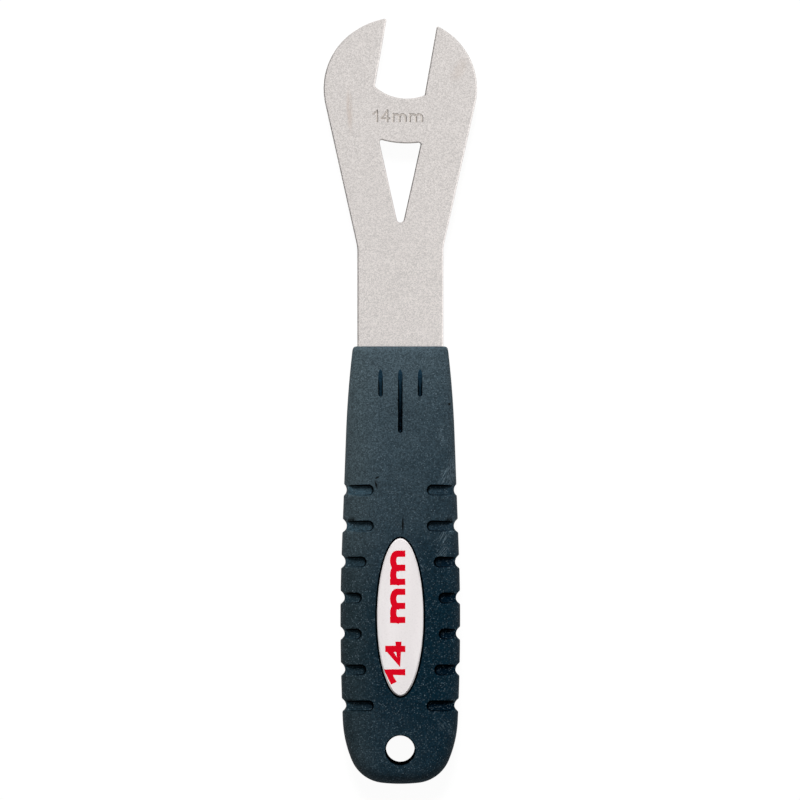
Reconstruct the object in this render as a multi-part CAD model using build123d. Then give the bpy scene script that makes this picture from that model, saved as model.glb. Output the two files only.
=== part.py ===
from build123d import *
import os
from math import acos, atan, cos, degrees, radians, sin, tan

# Cone wrench: a thin steel blade with a 14 mm open jaw and a moulded rubber grip.
# Millimetres and degrees. The pieces are drawn with X = 0 on the blade's centre line, Y = 0 at the
# grip's heel and Z = 0 at the middle of the blade's thickness, with the jaw towards +Y.
# The last section then moves them to the resting frame.

# Blade
BLADE_THICKNESS = 2.0
BLADE_TOP = 213.85          # heel of the grip to the crown of the head
SHANK_WIDTH = 24.0
EDGE_BREAK = 0.3            # chamfer round the blade's outline
CROWN_RADIUS = 22.9         # top of the head, centred on the blade's centre line
CROWN_HALF_ANGLE = 36.6     # half of the arc that the crown covers
CHEEK_RADIUS = 19.25        # widest part of the head
FLANK_ANGLE = 12.6          # the flanks taper to the shank at this angle from Y
SHANK_BLEND = 10.0          # radius between a flank and the shank

# Jaw: it leans towards +X about a point on the centre line
NUT_FLATS = 14.0            # across the flats of the cone that the jaw turns
JAW_PLAY = 0.1              # the jaw is this much wider than the cone's flats
JAW_TILT = 10.0
JAW_TO_CROWN = 19.55        # from the tilt point to the top of the head
THROAT_DEPTH = 3.0          # from the tilt point to the bottom of the throat
THROAT_RADIUS = 13.5
THROAT_CORNER = 0.5
TIP_CORNER = 0.3

# Window in the head: its walls to the throat and to both flanks have one width
WINDOW_WALL = 12.45
WINDOW_CORNER = 0.6
WINDOW_TIP_RADIUS = 1.0

# Tang: the blade's tail inside the grip, with holes that the rubber fills
TANG_END = 23.0             # heel of the grip to the end of the tang
TANG_CORNER = 6.0
KEY_HOLE_RADIUS = 4.0
KEY_HOLE_COUNT = 3
KEY_HOLE_PITCH = 28.0
KEY_HOLE_FROM_END = 16.8    # end of the tang to the first hole

# Grip, seen from above
GRIP_LENGTH = 122.0
PALM_WIDTH = 33.4           # widest place
PALM_FROM_HEEL = 46.12
BULGE_RADIUS = 500.0        # sides, from the palm to the straight shoulders
SHOULDER_ANGLE = 2.1
COLLAR_CURVE_LENGTH = 24.6  # the sides turn out of the straight shoulders this far from the collar
COLLAR_SIDE_RADIUS = 300.0
HIP_SIDE_RADIUS = 627.0     # sides, from the palm towards the heel
HIP_SIDE_ANGLE = 2.6
HIP_RADIUS = 32.2
HIP_ANGLE = 20.5
HEEL_CORNER_RADIUS = 10.35
HEEL_CORNER_ANGLE = 60.6

# Grip, seen from the side
GRIP_HALF_THICKNESS = 5.0
EDGE_ROLL = 4.4             # rounding of the long edges and the heel
COLLAR_HALF_THICKNESS = 2.45
FRONT_SLOPE_LENGTH = 38.0   # the front falls to the collar over this length
BACK_SLOPE_LENGTH = 16.0    # the back stays flat further, so that the wrench lies steady
SLOPE_EASE = 1.6            # how gently the slopes begin; 1 is a straight slope
SECTIONS_PER_SPAN = 5       # cross-sections that shape each lofted span of the grip
COLLAR_ROUND = 0.7

# Grooves across both edges of the grip
GROOVE_COUNT = 7
GROOVE_PITCH = 10.0
FIRST_GROOVE = 22.0         # heel of the grip to the first groove
NOTCH_RADIUS = 2.1
NOTCH_DEPTH = 1.2
LAST_NOTCH_DEPTH = 0.8      # the notch next to the collar is shallower
NOTCH_LIP_RADIUS = 0.5      # where a notch rolls onto the grip's edge
NOTCH_LIP_RISE = 0.02       # a lip ends this little before it would touch the edge's line
POCKET_FLOOR_WIDTH = 2.4
POCKET_DEPTH = 1.3
POCKET_DRAFT = 15.0
POCKET_REACH = 11.2         # nearest the badge's middle, a pocket ends this far from the centre line
POCKET_ARC = 78.0           # the pockets' inner ends follow an arc of this radius
POCKET_LEAST_REACH = 7.7

# Three slots behind the collar
SLOT_SPACING = 5.5
SLOT_WIDTH = 1.3
SLOT_DEPTH = 1.4
SLOT_ROUND = 0.6            # rounding of the slots' floors and of their heel ends
SLOT_TIP_FROM_COLLAR = 6.4  # here the slots run out in a point
SLOT_RUN_OUT = 5.2          # over this length the floors rise to that point
MIDDLE_SLOT_FROM_COLLAR = 24.1
SIDE_SLOT_FROM_COLLAR = 14.0

# Badge and its seat in the grip's front
BADGE_WIDTH = 12.92
BADGE_LENGTH = 43.86
BADGE_FROM_HEEL = 46.68
BADGE_THICKNESS = 1.4
BADGE_CROWN_RADIUS = 60.0   # the badge's face is crowned across the grip
BADGE_ROUND = 0.4
BADGE_SEAT_DEPTH = 0.8
BADGE_GAP = 0.33            # all round, between the badge and its seat

# Hang hole
HANG_HOLE_RADIUS = 4.0
HANG_HOLE_FROM_HEEL = 9.75
HANG_HOLE_ROUND = 0.4

WORK_MARGIN = 5.0           # how far cutting shapes run past what they cut
SAME_PLACE = 0.01           # places closer together than this are one place


def both_sides(half):
    """Joins a half drawn on the +X side to its mirror image."""
    return half + mirror(half, about=Plane.YZ)


# Blade outline
def blade_outline():
    """The blade seen from above, without its openings."""
    crown = JernArc((0, BLADE_TOP), (1, 0), CROWN_RADIUS, -CROWN_HALF_ANGLE)
    cheek = JernArc(crown @ 1, crown % 1, CHEEK_RADIUS, CROWN_HALF_ANGLE - 90 - FLANK_ANGLE)
    half_shank = SHANK_WIDTH / 2
    flank_length = ((cheek @ 1).X - half_shank) / sin(radians(FLANK_ANGLE))
    flank = Line(cheek @ 1, cheek @ 1 + (cheek % 1) * flank_length)
    tail = Polyline(flank @ 1, (half_shank, TANG_END), (0, TANG_END), (0, BLADE_TOP))
    outline = both_sides(make_face([crown, cheek, flank, tail]))
    ends = outline.vertices().group_by(Axis.Y)[0]
    outline = fillet(ends, TANG_CORNER)
    flank_ends = [v for v in outline.vertices() if abs(v.Y - (flank @ 1).Y) < SAME_PLACE]
    return fillet(flank_ends, SHANK_BLEND), flank @ 1


# Jaw and window
JAW_FRAME = Pos(0, BLADE_TOP - JAW_TO_CROWN) * Rot(0, 0, -JAW_TILT)
THROAT_CENTRE = JAW_FRAME * Pos(0, THROAT_RADIUS - THROAT_DEPTH)


def jaw_opening():
    """The gap between the jaw's flats, with its curved throat."""
    height = JAW_TO_CROWN + THROAT_DEPTH + WORK_MARGIN
    gap = Rectangle(NUT_FLATS + JAW_PLAY, height, align=(Align.CENTER, Align.MIN))
    gap = Pos(0, -THROAT_DEPTH) * gap
    throat = Pos(0, THROAT_RADIUS - THROAT_DEPTH) * Circle(THROAT_RADIUS)
    above = Rectangle(2 * THROAT_RADIUS, height, align=(Align.CENTER, Align.MIN))
    gap = gap & (throat + Pos(0, THROAT_RADIUS - THROAT_DEPTH) * above)
    gap = fillet(gap.vertices().group_by(Axis.Y)[0], THROAT_CORNER)
    return JAW_FRAME * gap


def window_opening(flank_foot):
    """The tapered window, set in by one wall width from both flanks and from the throat."""
    slope = radians(FLANK_ANGLE)
    tip_y = flank_foot.Y - flank_foot.X / tan(slope) + WINDOW_WALL / sin(slope)
    height = BLADE_TOP - tip_y
    half_top = height * tan(slope)
    wedge = make_face(Polyline((0, tip_y), (half_top, BLADE_TOP), (-half_top, BLADE_TOP), close=True))
    window = wedge - THROAT_CENTRE * Circle(THROAT_RADIUS + WINDOW_WALL)
    window = window.faces().sort_by(Axis.Y)[0]
    window = fillet(window.vertices().group_by(Axis.Y)[0], WINDOW_TIP_RADIUS)
    return fillet(window.vertices().group_by(Axis.Y)[-2:], WINDOW_CORNER)


def make_blade():
    """The whole steel plate: head, shank and hidden tang."""
    outline, flank_foot = blade_outline()
    plan = outline - jaw_opening() - window_opening(flank_foot)
    plan = fillet(plan.vertices().sort_by(Axis.Y)[-2:], TIP_CORNER)
    for step in range(KEY_HOLE_COUNT):
        hole_y = TANG_END + KEY_HOLE_FROM_END + KEY_HOLE_PITCH * step
        plan -= Pos(0, hole_y) * Circle(KEY_HOLE_RADIUS)
    plate = extrude(plan, BLADE_THICKNESS / 2, both=True)
    faces = plate.faces().sort_by(Axis.Z)
    return chamfer(faces[0].edges() + faces[-1].edges(), EDGE_BREAK)


# Grip outline
def grip_sides():
    """The grip's edge on the +X side: from the palm down to the heel, and from the palm to the collar."""
    palm = (PALM_WIDTH / 2, PALM_FROM_HEEL)
    side = JernArc(palm, (0, -1), HIP_SIDE_RADIUS, -HIP_SIDE_ANGLE)
    hip = JernArc(side @ 1, side % 1, HIP_RADIUS, -HIP_ANGLE)
    corner = JernArc(hip @ 1, hip % 1, HEEL_CORNER_RADIUS, -HEEL_CORNER_ANGLE)
    to_level = 90 - HIP_SIDE_ANGLE - HIP_ANGLE - HEEL_CORNER_ANGLE
    heel_radius = (corner @ 1).X / sin(radians(to_level))
    heel = JernArc(corner @ 1, corner % 1, heel_radius, -to_level)
    bulge = JernArc(palm, (0, 1), BULGE_RADIUS, SHOULDER_ANGLE)
    rise = GRIP_LENGTH - COLLAR_CURVE_LENGTH - (bulge @ 1).Y
    shoulder = Line(bulge @ 1, (bulge @ 1) + (bulge % 1) * (rise / cos(radians(SHOULDER_ANGLE))))
    past_collar = (COLLAR_CURVE_LENGTH + WORK_MARGIN) / COLLAR_SIDE_RADIUS
    collar = JernArc(shoulder @ 1, shoulder % 1, COLLAR_SIDE_RADIUS, degrees(past_collar))
    return [side, hip, corner, heel], [bulge, shoulder, collar]


HEEL_SIDE, COLLAR_SIDE = grip_sides()


def half_width(y):
    """Half the grip's width at the distance y from the heel."""
    across = Axis((0, y, 0), (1, 0, 0))
    edges = COLLAR_SIDE if y > PALM_FROM_HEEL else HEEL_SIDE
    return max(point.X for edge in edges for point in edge.find_intersection_points(across))


def height_at(y, slope_length):
    """Half thickness of one face of the grip, falling towards the collar over slope_length."""
    past = max(0.0, y - GRIP_LENGTH + slope_length) / slope_length
    return GRIP_HALF_THICKNESS - (GRIP_HALF_THICKNESS - COLLAR_HALF_THICKNESS) * past**SLOPE_EASE


def rolled_corner(x, z, height, start):
    """One quarter of an ellipse, from the angle start on."""
    return EllipticalCenterArc((x, z), EDGE_ROLL, height, start_angle=start, arc_size=90)


def grip_section(y):
    """Cross-section of the grip at y, with rolled corners that flatten towards the collar."""
    flat_half = GRIP_HALF_THICKNESS - EDGE_ROLL
    width = half_width(y)
    roll_x = width - EDGE_ROLL
    front = height_at(y, FRONT_SLOPE_LENGTH)
    back = height_at(y, BACK_SLOPE_LENGTH)
    edges = [
        Line((-roll_x, front), (roll_x, front)),
        rolled_corner(roll_x, flat_half, front - flat_half, 0),
        Line((width, flat_half), (width, -flat_half)),
        rolled_corner(roll_x, -flat_half, back - flat_half, 270),
        Line((roll_x, -back), (-roll_x, -back)),
        rolled_corner(-roll_x, -flat_half, back - flat_half, 180),
        Line((-width, -flat_half), (-width, flat_half)),
        rolled_corner(-roll_x, flat_half, front - flat_half, 90),
    ]
    return Plane.XZ.offset(-y) * make_face(edges)


def grip_body():
    """The grip without its hollows: a rounded heel, then lofts that thin to the collar."""
    seam = PALM_FROM_HEEL
    half = make_face([*HEEL_SIDE, Polyline(HEEL_SIDE[-1] @ 1, (0, seam), (PALM_WIDTH / 2, seam))])
    body = extrude(both_sides(half), GRIP_HALF_THICKNESS, both=True)
    rims = [e for e in body.edges() if abs(e.center().Z) > GRIP_HALF_THICKNESS - SAME_PLACE]
    body = fillet([e for e in rims if e.center().Y < seam - SAME_PLACE], EDGE_ROLL)
    breaks = [seam, GRIP_LENGTH - FRONT_SLOPE_LENGTH, GRIP_LENGTH - BACK_SLOPE_LENGTH, GRIP_LENGTH]
    for start, end in zip(breaks, breaks[1:]):
        step = (end - start) / (SECTIONS_PER_SPAN - 1)
        body += loft([grip_section(start + step * k) for k in range(SECTIONS_PER_SPAN)])
    return fillet(body.faces().sort_by(Axis.Y)[-1].edges(), COLLAR_ROUND)


# Grooves: a notch in each edge of the grip, and a shallow pocket beside it on both faces
def groove_places():
    """The distance of each groove from the heel."""
    return [FIRST_GROOVE + GROOVE_PITCH * k for k in range(GROOVE_COUNT)]


def notch(y, depth):
    """A cutter for the notch in the +X edge: a round hollow whose lips roll onto the edge."""
    to_lip = NOTCH_RADIUS + NOTCH_LIP_RADIUS
    turn = degrees(acos(1 - depth / to_lip))
    reach = to_lip * sin(radians(turn))
    lower = JernArc((0, -reach), (0, 1), NOTCH_LIP_RADIUS, turn)
    hollow = JernArc(lower @ 1, lower % 1, NOTCH_RADIUS, -2 * turn)
    upper = JernArc(hollow @ 1, hollow % 1, NOTCH_LIP_RADIUS, turn)
    outside = Polyline(upper @ 1, (WORK_MARGIN, reach), (WORK_MARGIN, -reach), lower @ 0)
    cutter = extrude(make_face([lower, hollow, upper, outside]), GRIP_HALF_THICKNESS + WORK_MARGIN, both=True)
    lean = degrees(atan((half_width(y + reach) - half_width(y - reach)) / (2 * reach)))
    return Pos(half_width(y) + NOTCH_LIP_RISE, y) * Rot(0, 0, -lean) * cutter


def pocket(y):
    """A cutter for the front pocket on the +X side: flat floor, leaning walls, round inner end."""
    from_badge = y - BADGE_FROM_HEEL
    reach = max(POCKET_LEAST_REACH, POCKET_REACH - from_badge**2 / (2 * POCKET_ARC))
    length = PALM_WIDTH / 2 + WORK_MARGIN - reach
    floor = Pos(reach + length / 2, y) * SlotOverall(length, POCKET_FLOOR_WIDTH)
    floor = Pos(0, 0, GRIP_HALF_THICKNESS - POCKET_DEPTH) * floor
    return extrude(floor, 2 * POCKET_DEPTH, taper=-POCKET_DRAFT)


def groove_cutters():
    """All notches and pockets, on both sides and both faces."""
    places = groove_places()
    cutters = []
    for y in places:
        depth = LAST_NOTCH_DEPTH if y == places[-1] else NOTCH_DEPTH
        front = pocket(y)
        right = [notch(y, depth), front, mirror(front, about=Plane.XY)]
        cutters += right + [mirror(cutter, about=Plane.YZ) for cutter in right]
    return cutters


# Slots behind the collar
def under_front(from_collar, depth):
    """The place on the centre line this far below the grip's front."""
    y = GRIP_LENGTH - from_collar
    return Vector(0, y, height_at(y, FRONT_SLOPE_LENGTH) - depth)


def slot(from_collar):
    """A cutter for one slot: it keeps one depth below the front, then its floor rises out of the grip."""
    start = under_front(from_collar, SLOT_DEPTH)
    bend = under_front(SLOT_TIP_FROM_COLLAR + SLOT_RUN_OUT, SLOT_DEPTH)
    tip = under_front(SLOT_TIP_FROM_COLLAR, 0)
    outside = tip + (tip - bend)
    top = GRIP_HALF_THICKNESS + WORK_MARGIN
    side = Polyline(start, bend, outside, (0, outside.Y, top), (0, start.Y, top), close=True)
    cutter = extrude(make_face(side), SLOT_WIDTH / 2, both=True)
    below_top = [e for e in cutter.edges() if e.center().Z < top - SAME_PLACE]
    heel_end = [e for e in below_top if e.center().Y < start.Y + SAME_PLACE]
    lengthwise = [e for e in below_top if start.Y + SAME_PLACE < e.center().Y < outside.Y - SAME_PLACE]
    long_sides = [e for e in lengthwise if abs(e.center().X) > SAME_PLACE]
    return fillet(heel_end + long_sides, SLOT_ROUND)


def slot_cutters():
    """The middle slot and the shorter one on each side of it."""
    side = Pos(SLOT_SPACING, 0) * slot(SIDE_SLOT_FROM_COLLAR)
    return [slot(MIDDLE_SLOT_FROM_COLLAR), side, mirror(side, about=Plane.YZ)]


# Badge
SEAT_HEIGHT = GRIP_HALF_THICKNESS - BADGE_SEAT_DEPTH


def make_badge():
    """The oval badge, lying in its seat, with a crowned face."""
    oval = Pos(0, BADGE_FROM_HEEL, SEAT_HEIGHT) * Ellipse(BADGE_WIDTH / 2, BADGE_LENGTH / 2)
    top = SEAT_HEIGHT + BADGE_THICKNESS
    crown = Rot(90, 0, 0) * Cylinder(BADGE_CROWN_RADIUS, 2 * BADGE_LENGTH)
    crown = Pos(0, BADGE_FROM_HEEL, top - BADGE_CROWN_RADIUS) * crown
    plate = extrude(oval, 2 * BADGE_THICKNESS) & crown
    return fillet(plate.faces().sort_by(Axis.Z)[-1].edges(), BADGE_ROUND)


def badge_seat():
    """A cutter for the oval seat, wider than the badge by the gap all round."""
    oval = Ellipse(BADGE_WIDTH / 2 + BADGE_GAP, BADGE_LENGTH / 2 + BADGE_GAP)
    return extrude(Pos(0, BADGE_FROM_HEEL, SEAT_HEIGHT) * oval, WORK_MARGIN)


# Grip with its hollows
def make_grip(blade):
    """The moulded grip, round the blade's tang."""
    grip = grip_body()
    hole = Cylinder(HANG_HOLE_RADIUS, 2 * (GRIP_HALF_THICKNESS + WORK_MARGIN))
    grip -= Pos(0, HANG_HOLE_FROM_HEEL) * hole
    circles = grip.edges().filter_by(GeomType.CIRCLE)
    rims = [e for e in circles if abs(e.radius - HANG_HOLE_RADIUS) < SAME_PLACE]
    rims = [e for e in rims if abs(e.arc_center.X) < SAME_PLACE]
    grip = fillet(rims, HANG_HOLE_ROUND)
    return grip - groove_cutters() - slot_cutters() - badge_seat() - blade


# Resting frame: on the flat back of the grip, with the origin under the middle of the whole wrench
blade = make_blade()
pieces = {"blade": blade, "grip": make_grip(blade), "badge": make_badge()}
box = Compound(list(pieces.values())).bounding_box()
to_rest = Pos(-box.center().X, -box.center().Y, -box.min.Z)

os.makedirs("parts", exist_ok=True)
for name, piece in pieces.items():
    export_step(to_rest * piece, f"parts/{name}.step")

# The numbers that the record repeats
print("box", box.size, "moved by", to_rest.position)
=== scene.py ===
"""Looks of a cone wrench: a blasted steel blade, a moulded rubber grip and a domed badge.

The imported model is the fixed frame, and all lengths are in metres. The wrench lies on the back of its grip:
+Y runs from the grip's heel to the jaw, +X is the side that the jaw leans to, and +Z points up.
"""

import logging
import math
from collections.abc import Iterable, Mapping, Sequence
from dataclasses import dataclass, field
from enum import Enum
from typing import Any

import bmesh
import bpy
from mathutils import Matrix, Vector


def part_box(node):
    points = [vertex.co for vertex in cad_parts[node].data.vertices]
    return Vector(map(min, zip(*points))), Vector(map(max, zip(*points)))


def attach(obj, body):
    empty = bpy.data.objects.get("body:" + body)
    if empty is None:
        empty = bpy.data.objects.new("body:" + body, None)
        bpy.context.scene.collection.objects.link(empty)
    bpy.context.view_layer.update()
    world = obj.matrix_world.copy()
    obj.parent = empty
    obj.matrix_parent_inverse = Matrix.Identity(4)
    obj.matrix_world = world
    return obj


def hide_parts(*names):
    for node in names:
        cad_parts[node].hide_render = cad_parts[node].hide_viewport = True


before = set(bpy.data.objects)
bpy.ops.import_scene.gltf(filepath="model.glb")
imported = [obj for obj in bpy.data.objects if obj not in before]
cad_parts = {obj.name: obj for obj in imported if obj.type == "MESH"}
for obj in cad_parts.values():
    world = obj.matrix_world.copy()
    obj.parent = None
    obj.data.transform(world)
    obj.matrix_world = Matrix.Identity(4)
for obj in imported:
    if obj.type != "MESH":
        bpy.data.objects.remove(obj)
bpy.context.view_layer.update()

log = logging.getLogger("cone_wrench")

BODY = "root"
IMAGE_PIXELS = 800
CUT_MARGIN = 0.003  # how far a cutting form runs past what it cuts
SHARP_ANGLE = math.radians(38)  # edges that turn more than this are drawn as edges
TOUCHING = 1e-6  # vertices closer than this are joined
STRAIGHT = math.radians(89.9)  # half of a corner's angle, from which on it counts as straight
STROKE_BEND = 0.6  # the least cosine used for half a stroke's bend, so that sharp bends stay short
OUTLINE_BEND = 0.4  # the same for the bends of an outline that is grown
RECESS_LIP = 0.86  # the share of a recess's lip that is cut, so that it crosses the surface cleanly
HOLE_LIP = 0.85  # the same for a hole's rim
NOISE_RANGE = (0.3, 0.7)  # where most of a noise lies
GRAIN_RANGE = (0.2, 0.8)  # where most of a fine grain lies
NOISE_FALL = 0.6  # how strong each finer layer of noise is, as a share of the one before
PATCH_LINES = (0.6, 0.82)  # the noise at which a patch's lines begin and are full, with no cover
PATCH_FADE = (1.0, 0.25)  # how far out a patch ends, and how far out it is still full

Pair = tuple[float, float]
Triple = tuple[float, float, float]
Colour = tuple[float, float, float]
Ring = tuple[float, float]  # (how far the outline is grown, height)


class Face(Enum):
    """The two faces of the wrench, as the sign of their Z."""

    FRONT = 1
    BACK = -1


class Axis(Enum):
    """An axis of the frame, as its place in a vector."""

    X = 0
    Y = 1
    Z = 2


# Forms


@dataclass
class Solid:
    """Vertices and faces of one or several closed forms, before they become an object."""

    vertices: list[Vector] = field(default_factory=list)
    faces: list[tuple[int, ...]] = field(default_factory=list)

    def __add__(self, other: "Solid") -> "Solid":
        """Both forms, side by side."""
        first = len(self.vertices)
        moved = [tuple(first + index for index in face) for face in other.faces]
        return Solid(self.vertices + other.vertices, self.faces + moved)

    def mirrored(self, axis: Axis, at: float = 0.0) -> "Solid":
        """The form's mirror image.

        Args:
            axis: the axis that the mirror plane is square to.
            at: where on that axis the plane lies.

        Returns:
            A new form, with its faces turned so that they still look outward.
        """
        vertices = [vertex.copy() for vertex in self.vertices]
        for vertex in vertices:
            vertex[axis.value] = 2 * at - vertex[axis.value]
        return Solid(vertices, [face[::-1] for face in self.faces])

    def to_object(self, name: str) -> bpy.types.Object:
        """Makes a Blender object of the form.

        Args:
            name: the object's name.

        Returns:
            The object, linked to the scene.
        """
        mesh = bpy.data.meshes.new(name)
        mesh.from_pydata([tuple(vertex) for vertex in self.vertices], [], self.faces)
        mesh.validate()
        made = bpy.data.objects.new(name, mesh)
        bpy.context.scene.collection.objects.link(made)
        return made


@dataclass(frozen=True)
class Loop:
    """A closed outline in the plan, run anticlockwise."""

    points: tuple[Vector, ...]

    @classmethod
    def ellipse(cls, centre: Vector, half_width: float, half_length: float, count: int = 96) -> "Loop":
        """An ellipse along the axes.

        Args:
            centre: its middle.
            half_width: half its extent in X.
            half_length: half its extent in Y.
            count: the number of points.

        Returns:
            The outline.
        """
        turns = [2 * math.pi * step / count for step in range(count)]
        scaled = [Vector((half_width * math.cos(turn), half_length * math.sin(turn))) for turn in turns]
        return cls(tuple(centre + point for point in scaled))

    @classmethod
    def stroke(cls, line: Sequence[Vector], radius: float, count: int = 14) -> "Loop":
        """A stroke along a bent line, with pointed bends.

        Args:
            line: the points of its middle line, at least two.
            radius: half of the stroke's width.
            count: the number of steps in each round end, 1 for flat ends.

        Returns:
            The outline.
        """
        points: list[Vector] = []
        for way in (line, line[::-1]):
            for before, point, after in zip(way, way[1:], way[2:]):
                come, leave = (point - before).normalized(), (after - point).normalized()
                normal = Vector((come.y + leave.y, -come.x - leave.x)).normalized()
                bend = normal.dot(Vector((come.y, -come.x)))
                points.append(point + normal * (radius / max(bend, STROKE_BEND)))
            heading = math.atan2(way[-1].y - way[-2].y, way[-1].x - way[-2].x)
            for step in range(count + 1):
                turn = heading + math.pi * (step / count - 0.5)
                points.append(way[-1] + radius * Vector((math.cos(turn), math.sin(turn))))
        return cls(tuple(points))

    @classmethod
    def rounded(cls, corners: Sequence[tuple[Vector, float]], count: int = 8) -> "Loop":
        """A polygon whose corners are rounded.

        Args:
            corners: each corner with its radius, 0 for a point on a curve.
            count: the number of steps in each rounded corner.

        Returns:
            The outline.
        """
        points: list[Vector] = []
        for index, (corner, radius) in enumerate(corners):
            before = (corners[index - 1][0] - corner).normalized()
            after = (corners[(index + 1) % len(corners)][0] - corner).normalized()
            half = math.acos(max(-1.0, min(1.0, before.dot(after)))) / 2
            if radius == 0 or half > STRAIGHT:
                points.append(corner)
                continue
            middle = corner + (before + after).normalized() * (radius / math.sin(half))
            from_middle = corner + before * (radius / math.tan(half)) - middle
            first = math.atan2(from_middle.y, from_middle.x)
            sweep = (math.pi - 2 * half) * (1 if before.cross(after) < 0 else -1)
            for step in range(count + 1):
                turn = first + sweep * step / count
                points.append(middle + radius * Vector((math.cos(turn), math.sin(turn))))
        return cls(tuple(points))

    def grown(self, distance: float) -> "Loop":
        """The outline moved outward everywhere.

        Args:
            distance: how far, or a negative number to move inward.

        Returns:
            The new outline, with as many points.
        """
        moved = []
        for index, point in enumerate(self.points):
            before = (point - self.points[index - 1]).normalized()
            after = (self.points[(index + 1) % len(self.points)] - point).normalized()
            normal_before = Vector((before.y, -before.x))
            normal = (normal_before + Vector((after.y, -after.x))).normalized()
            moved.append(point + normal * (distance / max(normal.dot(normal_before), OUTLINE_BEND)))
        return Loop(tuple(moved))

    def placed(self, origin: Vector, turn: float = 0.0) -> "Loop":
        """The outline turned about zero and then moved.

        Args:
            origin: where the outline's own zero goes.
            turn: the turn, anticlockwise, in degrees.

        Returns:
            The new outline.
        """
        turned = Matrix.Rotation(math.radians(turn), 2)
        return Loop(tuple(origin + turned @ point for point in self.points))

    def stack(self, rings: Sequence[Ring]) -> Solid:
        """A solid with this plan.

        Args:
            rings: from the bottom up, how far the outline is grown at each height.

        Returns:
            The closed form, with flat ends.
        """
        count = len(self.points)
        vertices = []
        for grow, height in rings:
            vertices += [Vector((point.x, point.y, height)) for point in self.grown(grow).points]
        faces = [tuple(reversed(range(count)))]
        for level in range(len(rings) - 1):
            low, high = level * count, (level + 1) * count
            for index in range(count):
                after = (index + 1) % count
                faces.append((low + index, low + after, high + after, high + index))
        faces.append(tuple(range(len(vertices) - count, len(vertices))))
        return Solid(vertices, faces)


@dataclass
class Walk:
    """A chain of tangent lines and left-turning arcs in the plan.

    Attributes:
        place: where the walk stands.
        heading: its direction, in degrees from +X.
        chord: the longest step along an arc, and half of the longest along a line.
        bend: the largest turn of one step, in degrees.
        points: every point so far, with the heading there.
    """

    place: Vector
    heading: float
    chord: float = 0.0009
    bend: float = 4.0
    points: list[tuple[Vector, float]] = field(default_factory=list)

    def __post_init__(self) -> None:
        """Notes the start."""
        self.points.append((self.place.copy(), self.heading))

    def line(self, length: float) -> None:
        """Goes straight on."""
        turn = math.radians(self.heading)
        start = self.place.copy()
        steps = max(1, math.ceil(length / (2 * self.chord)))
        for step in range(1, steps + 1):
            self.place = start + Vector((math.cos(turn), math.sin(turn))) * (length * step / steps)
            self.points.append((self.place.copy(), self.heading))

    def arc(self, radius: float, turn: float) -> None:
        """Goes along an arc.

        Args:
            radius: the arc's radius.
            turn: the arc's angle in degrees, positive to the left and negative to the right.
        """
        side = 1 if turn > 0 else -1
        first = math.radians(self.heading)
        middle = self.place + side * radius * Vector((-math.sin(first), math.cos(first)))
        length = radius * math.radians(abs(turn))
        steps = max(1, math.ceil(length / self.chord), math.ceil(abs(turn) / self.bend))
        for step in range(1, steps + 1):
            angle = first + math.radians(turn) * step / steps
            self.place = middle - side * radius * Vector((-math.sin(angle), math.cos(angle)))
            self.points.append((self.place.copy(), self.heading + turn * step / steps))
        self.heading += turn

    def climb(self, height: float, radius: float | None = None) -> None:
        """Goes on until Y is reached.

        Args:
            height: the Y to reach.
            radius: the radius of the left-turning arc on the way, or None for a straight line.
        """
        first = math.radians(self.heading)
        rise = height - self.place.y
        if radius is None:
            self.line(rise / math.sin(first))
        else:
            self.arc(radius, math.degrees(math.acos(math.cos(first) - rise / radius) - first))


def quarter(radius: float, steps: int = 4) -> list[Pair]:
    """A quarter circle, as pairs of run and rise.

    Args:
        radius: its radius.
        steps: the number of steps.

    Returns:
        Pairs from (0, 0), where it rises steeply, to (radius, radius), where it is level.
    """
    turns = [math.pi / 2 * step / steps for step in range(steps + 1)]
    return [(radius * (1 - math.cos(turn)), radius * math.sin(turn)) for turn in turns]


def plate_rings(low: float, high: float, edge: float) -> list[Ring]:
    """Rings of a plate with rounded rims.

    Args:
        low: height of the underside.
        high: height of the top.
        edge: radius of the rims.

    Returns:
        The rings from the bottom up.
    """
    rim = quarter(edge)
    bottom = [(-run, low + edge - rise) for run, rise in reversed(rim)]
    return bottom + [(-run, high - edge + rise) for run, rise in rim]


def recess_rings(floor: float, top: float, draft: float, corner: float, lip: float) -> list[Ring]:
    """Rings of a cutter for a recess, whose plan is the recess's floor.

    Args:
        floor: height of the recess's floor.
        top: height of the surface that it is cut into.
        draft: how far the walls lean outward, in degrees.
        corner: radius where the floor meets the walls.
        lip: radius where the walls meet the surface.

    Returns:
        The rings from the floor up, past the surface.
    """
    rings = [(0.0, floor)]
    if corner:
        steps = 3
        runs = [corner * step / steps for step in range(steps + 1)]
        rings = [(run - corner, floor + corner - math.sqrt(max(0.0, corner**2 - run**2))) for run in runs]
    wall = top - lip - floor
    grow = math.tan(math.radians(draft)) * wall
    rings.append((grow, floor + wall))
    for run, rise in quarter(lip)[1:]:
        share = min(run / lip, RECESS_LIP)
        rings.append((grow + lip * share, floor + wall + rise * (share / (run / lip)) ** 0.5))
    return [*rings, (rings[-1][0], top + CUT_MARGIN)]


def through_rings(low: float, high: float, lip: float) -> list[Ring]:
    """Rings of a cutter for a hole through a plate, with rounded rims on both sides.

    Args:
        low: height of the plate's underside.
        high: height of its top.
        lip: radius of the rims.

    Returns:
        The rings from the bottom up.
    """
    rim = [(run, rise) for run, rise in quarter(lip, 5) if run <= HOLE_LIP * lip]
    up = [(run, high - lip + rise) for run, rise in rim]
    up.append((rim[-1][0], high + CUT_MARGIN))
    down = [(grow, low + high - height) for grow, height in reversed(up)]
    return down + up


class Cut(Enum):
    """What is kept of an object that another one crosses."""

    OUTSIDE = "DIFFERENCE"
    INSIDE = "INTERSECT"
    BOTH = "UNION"


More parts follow.
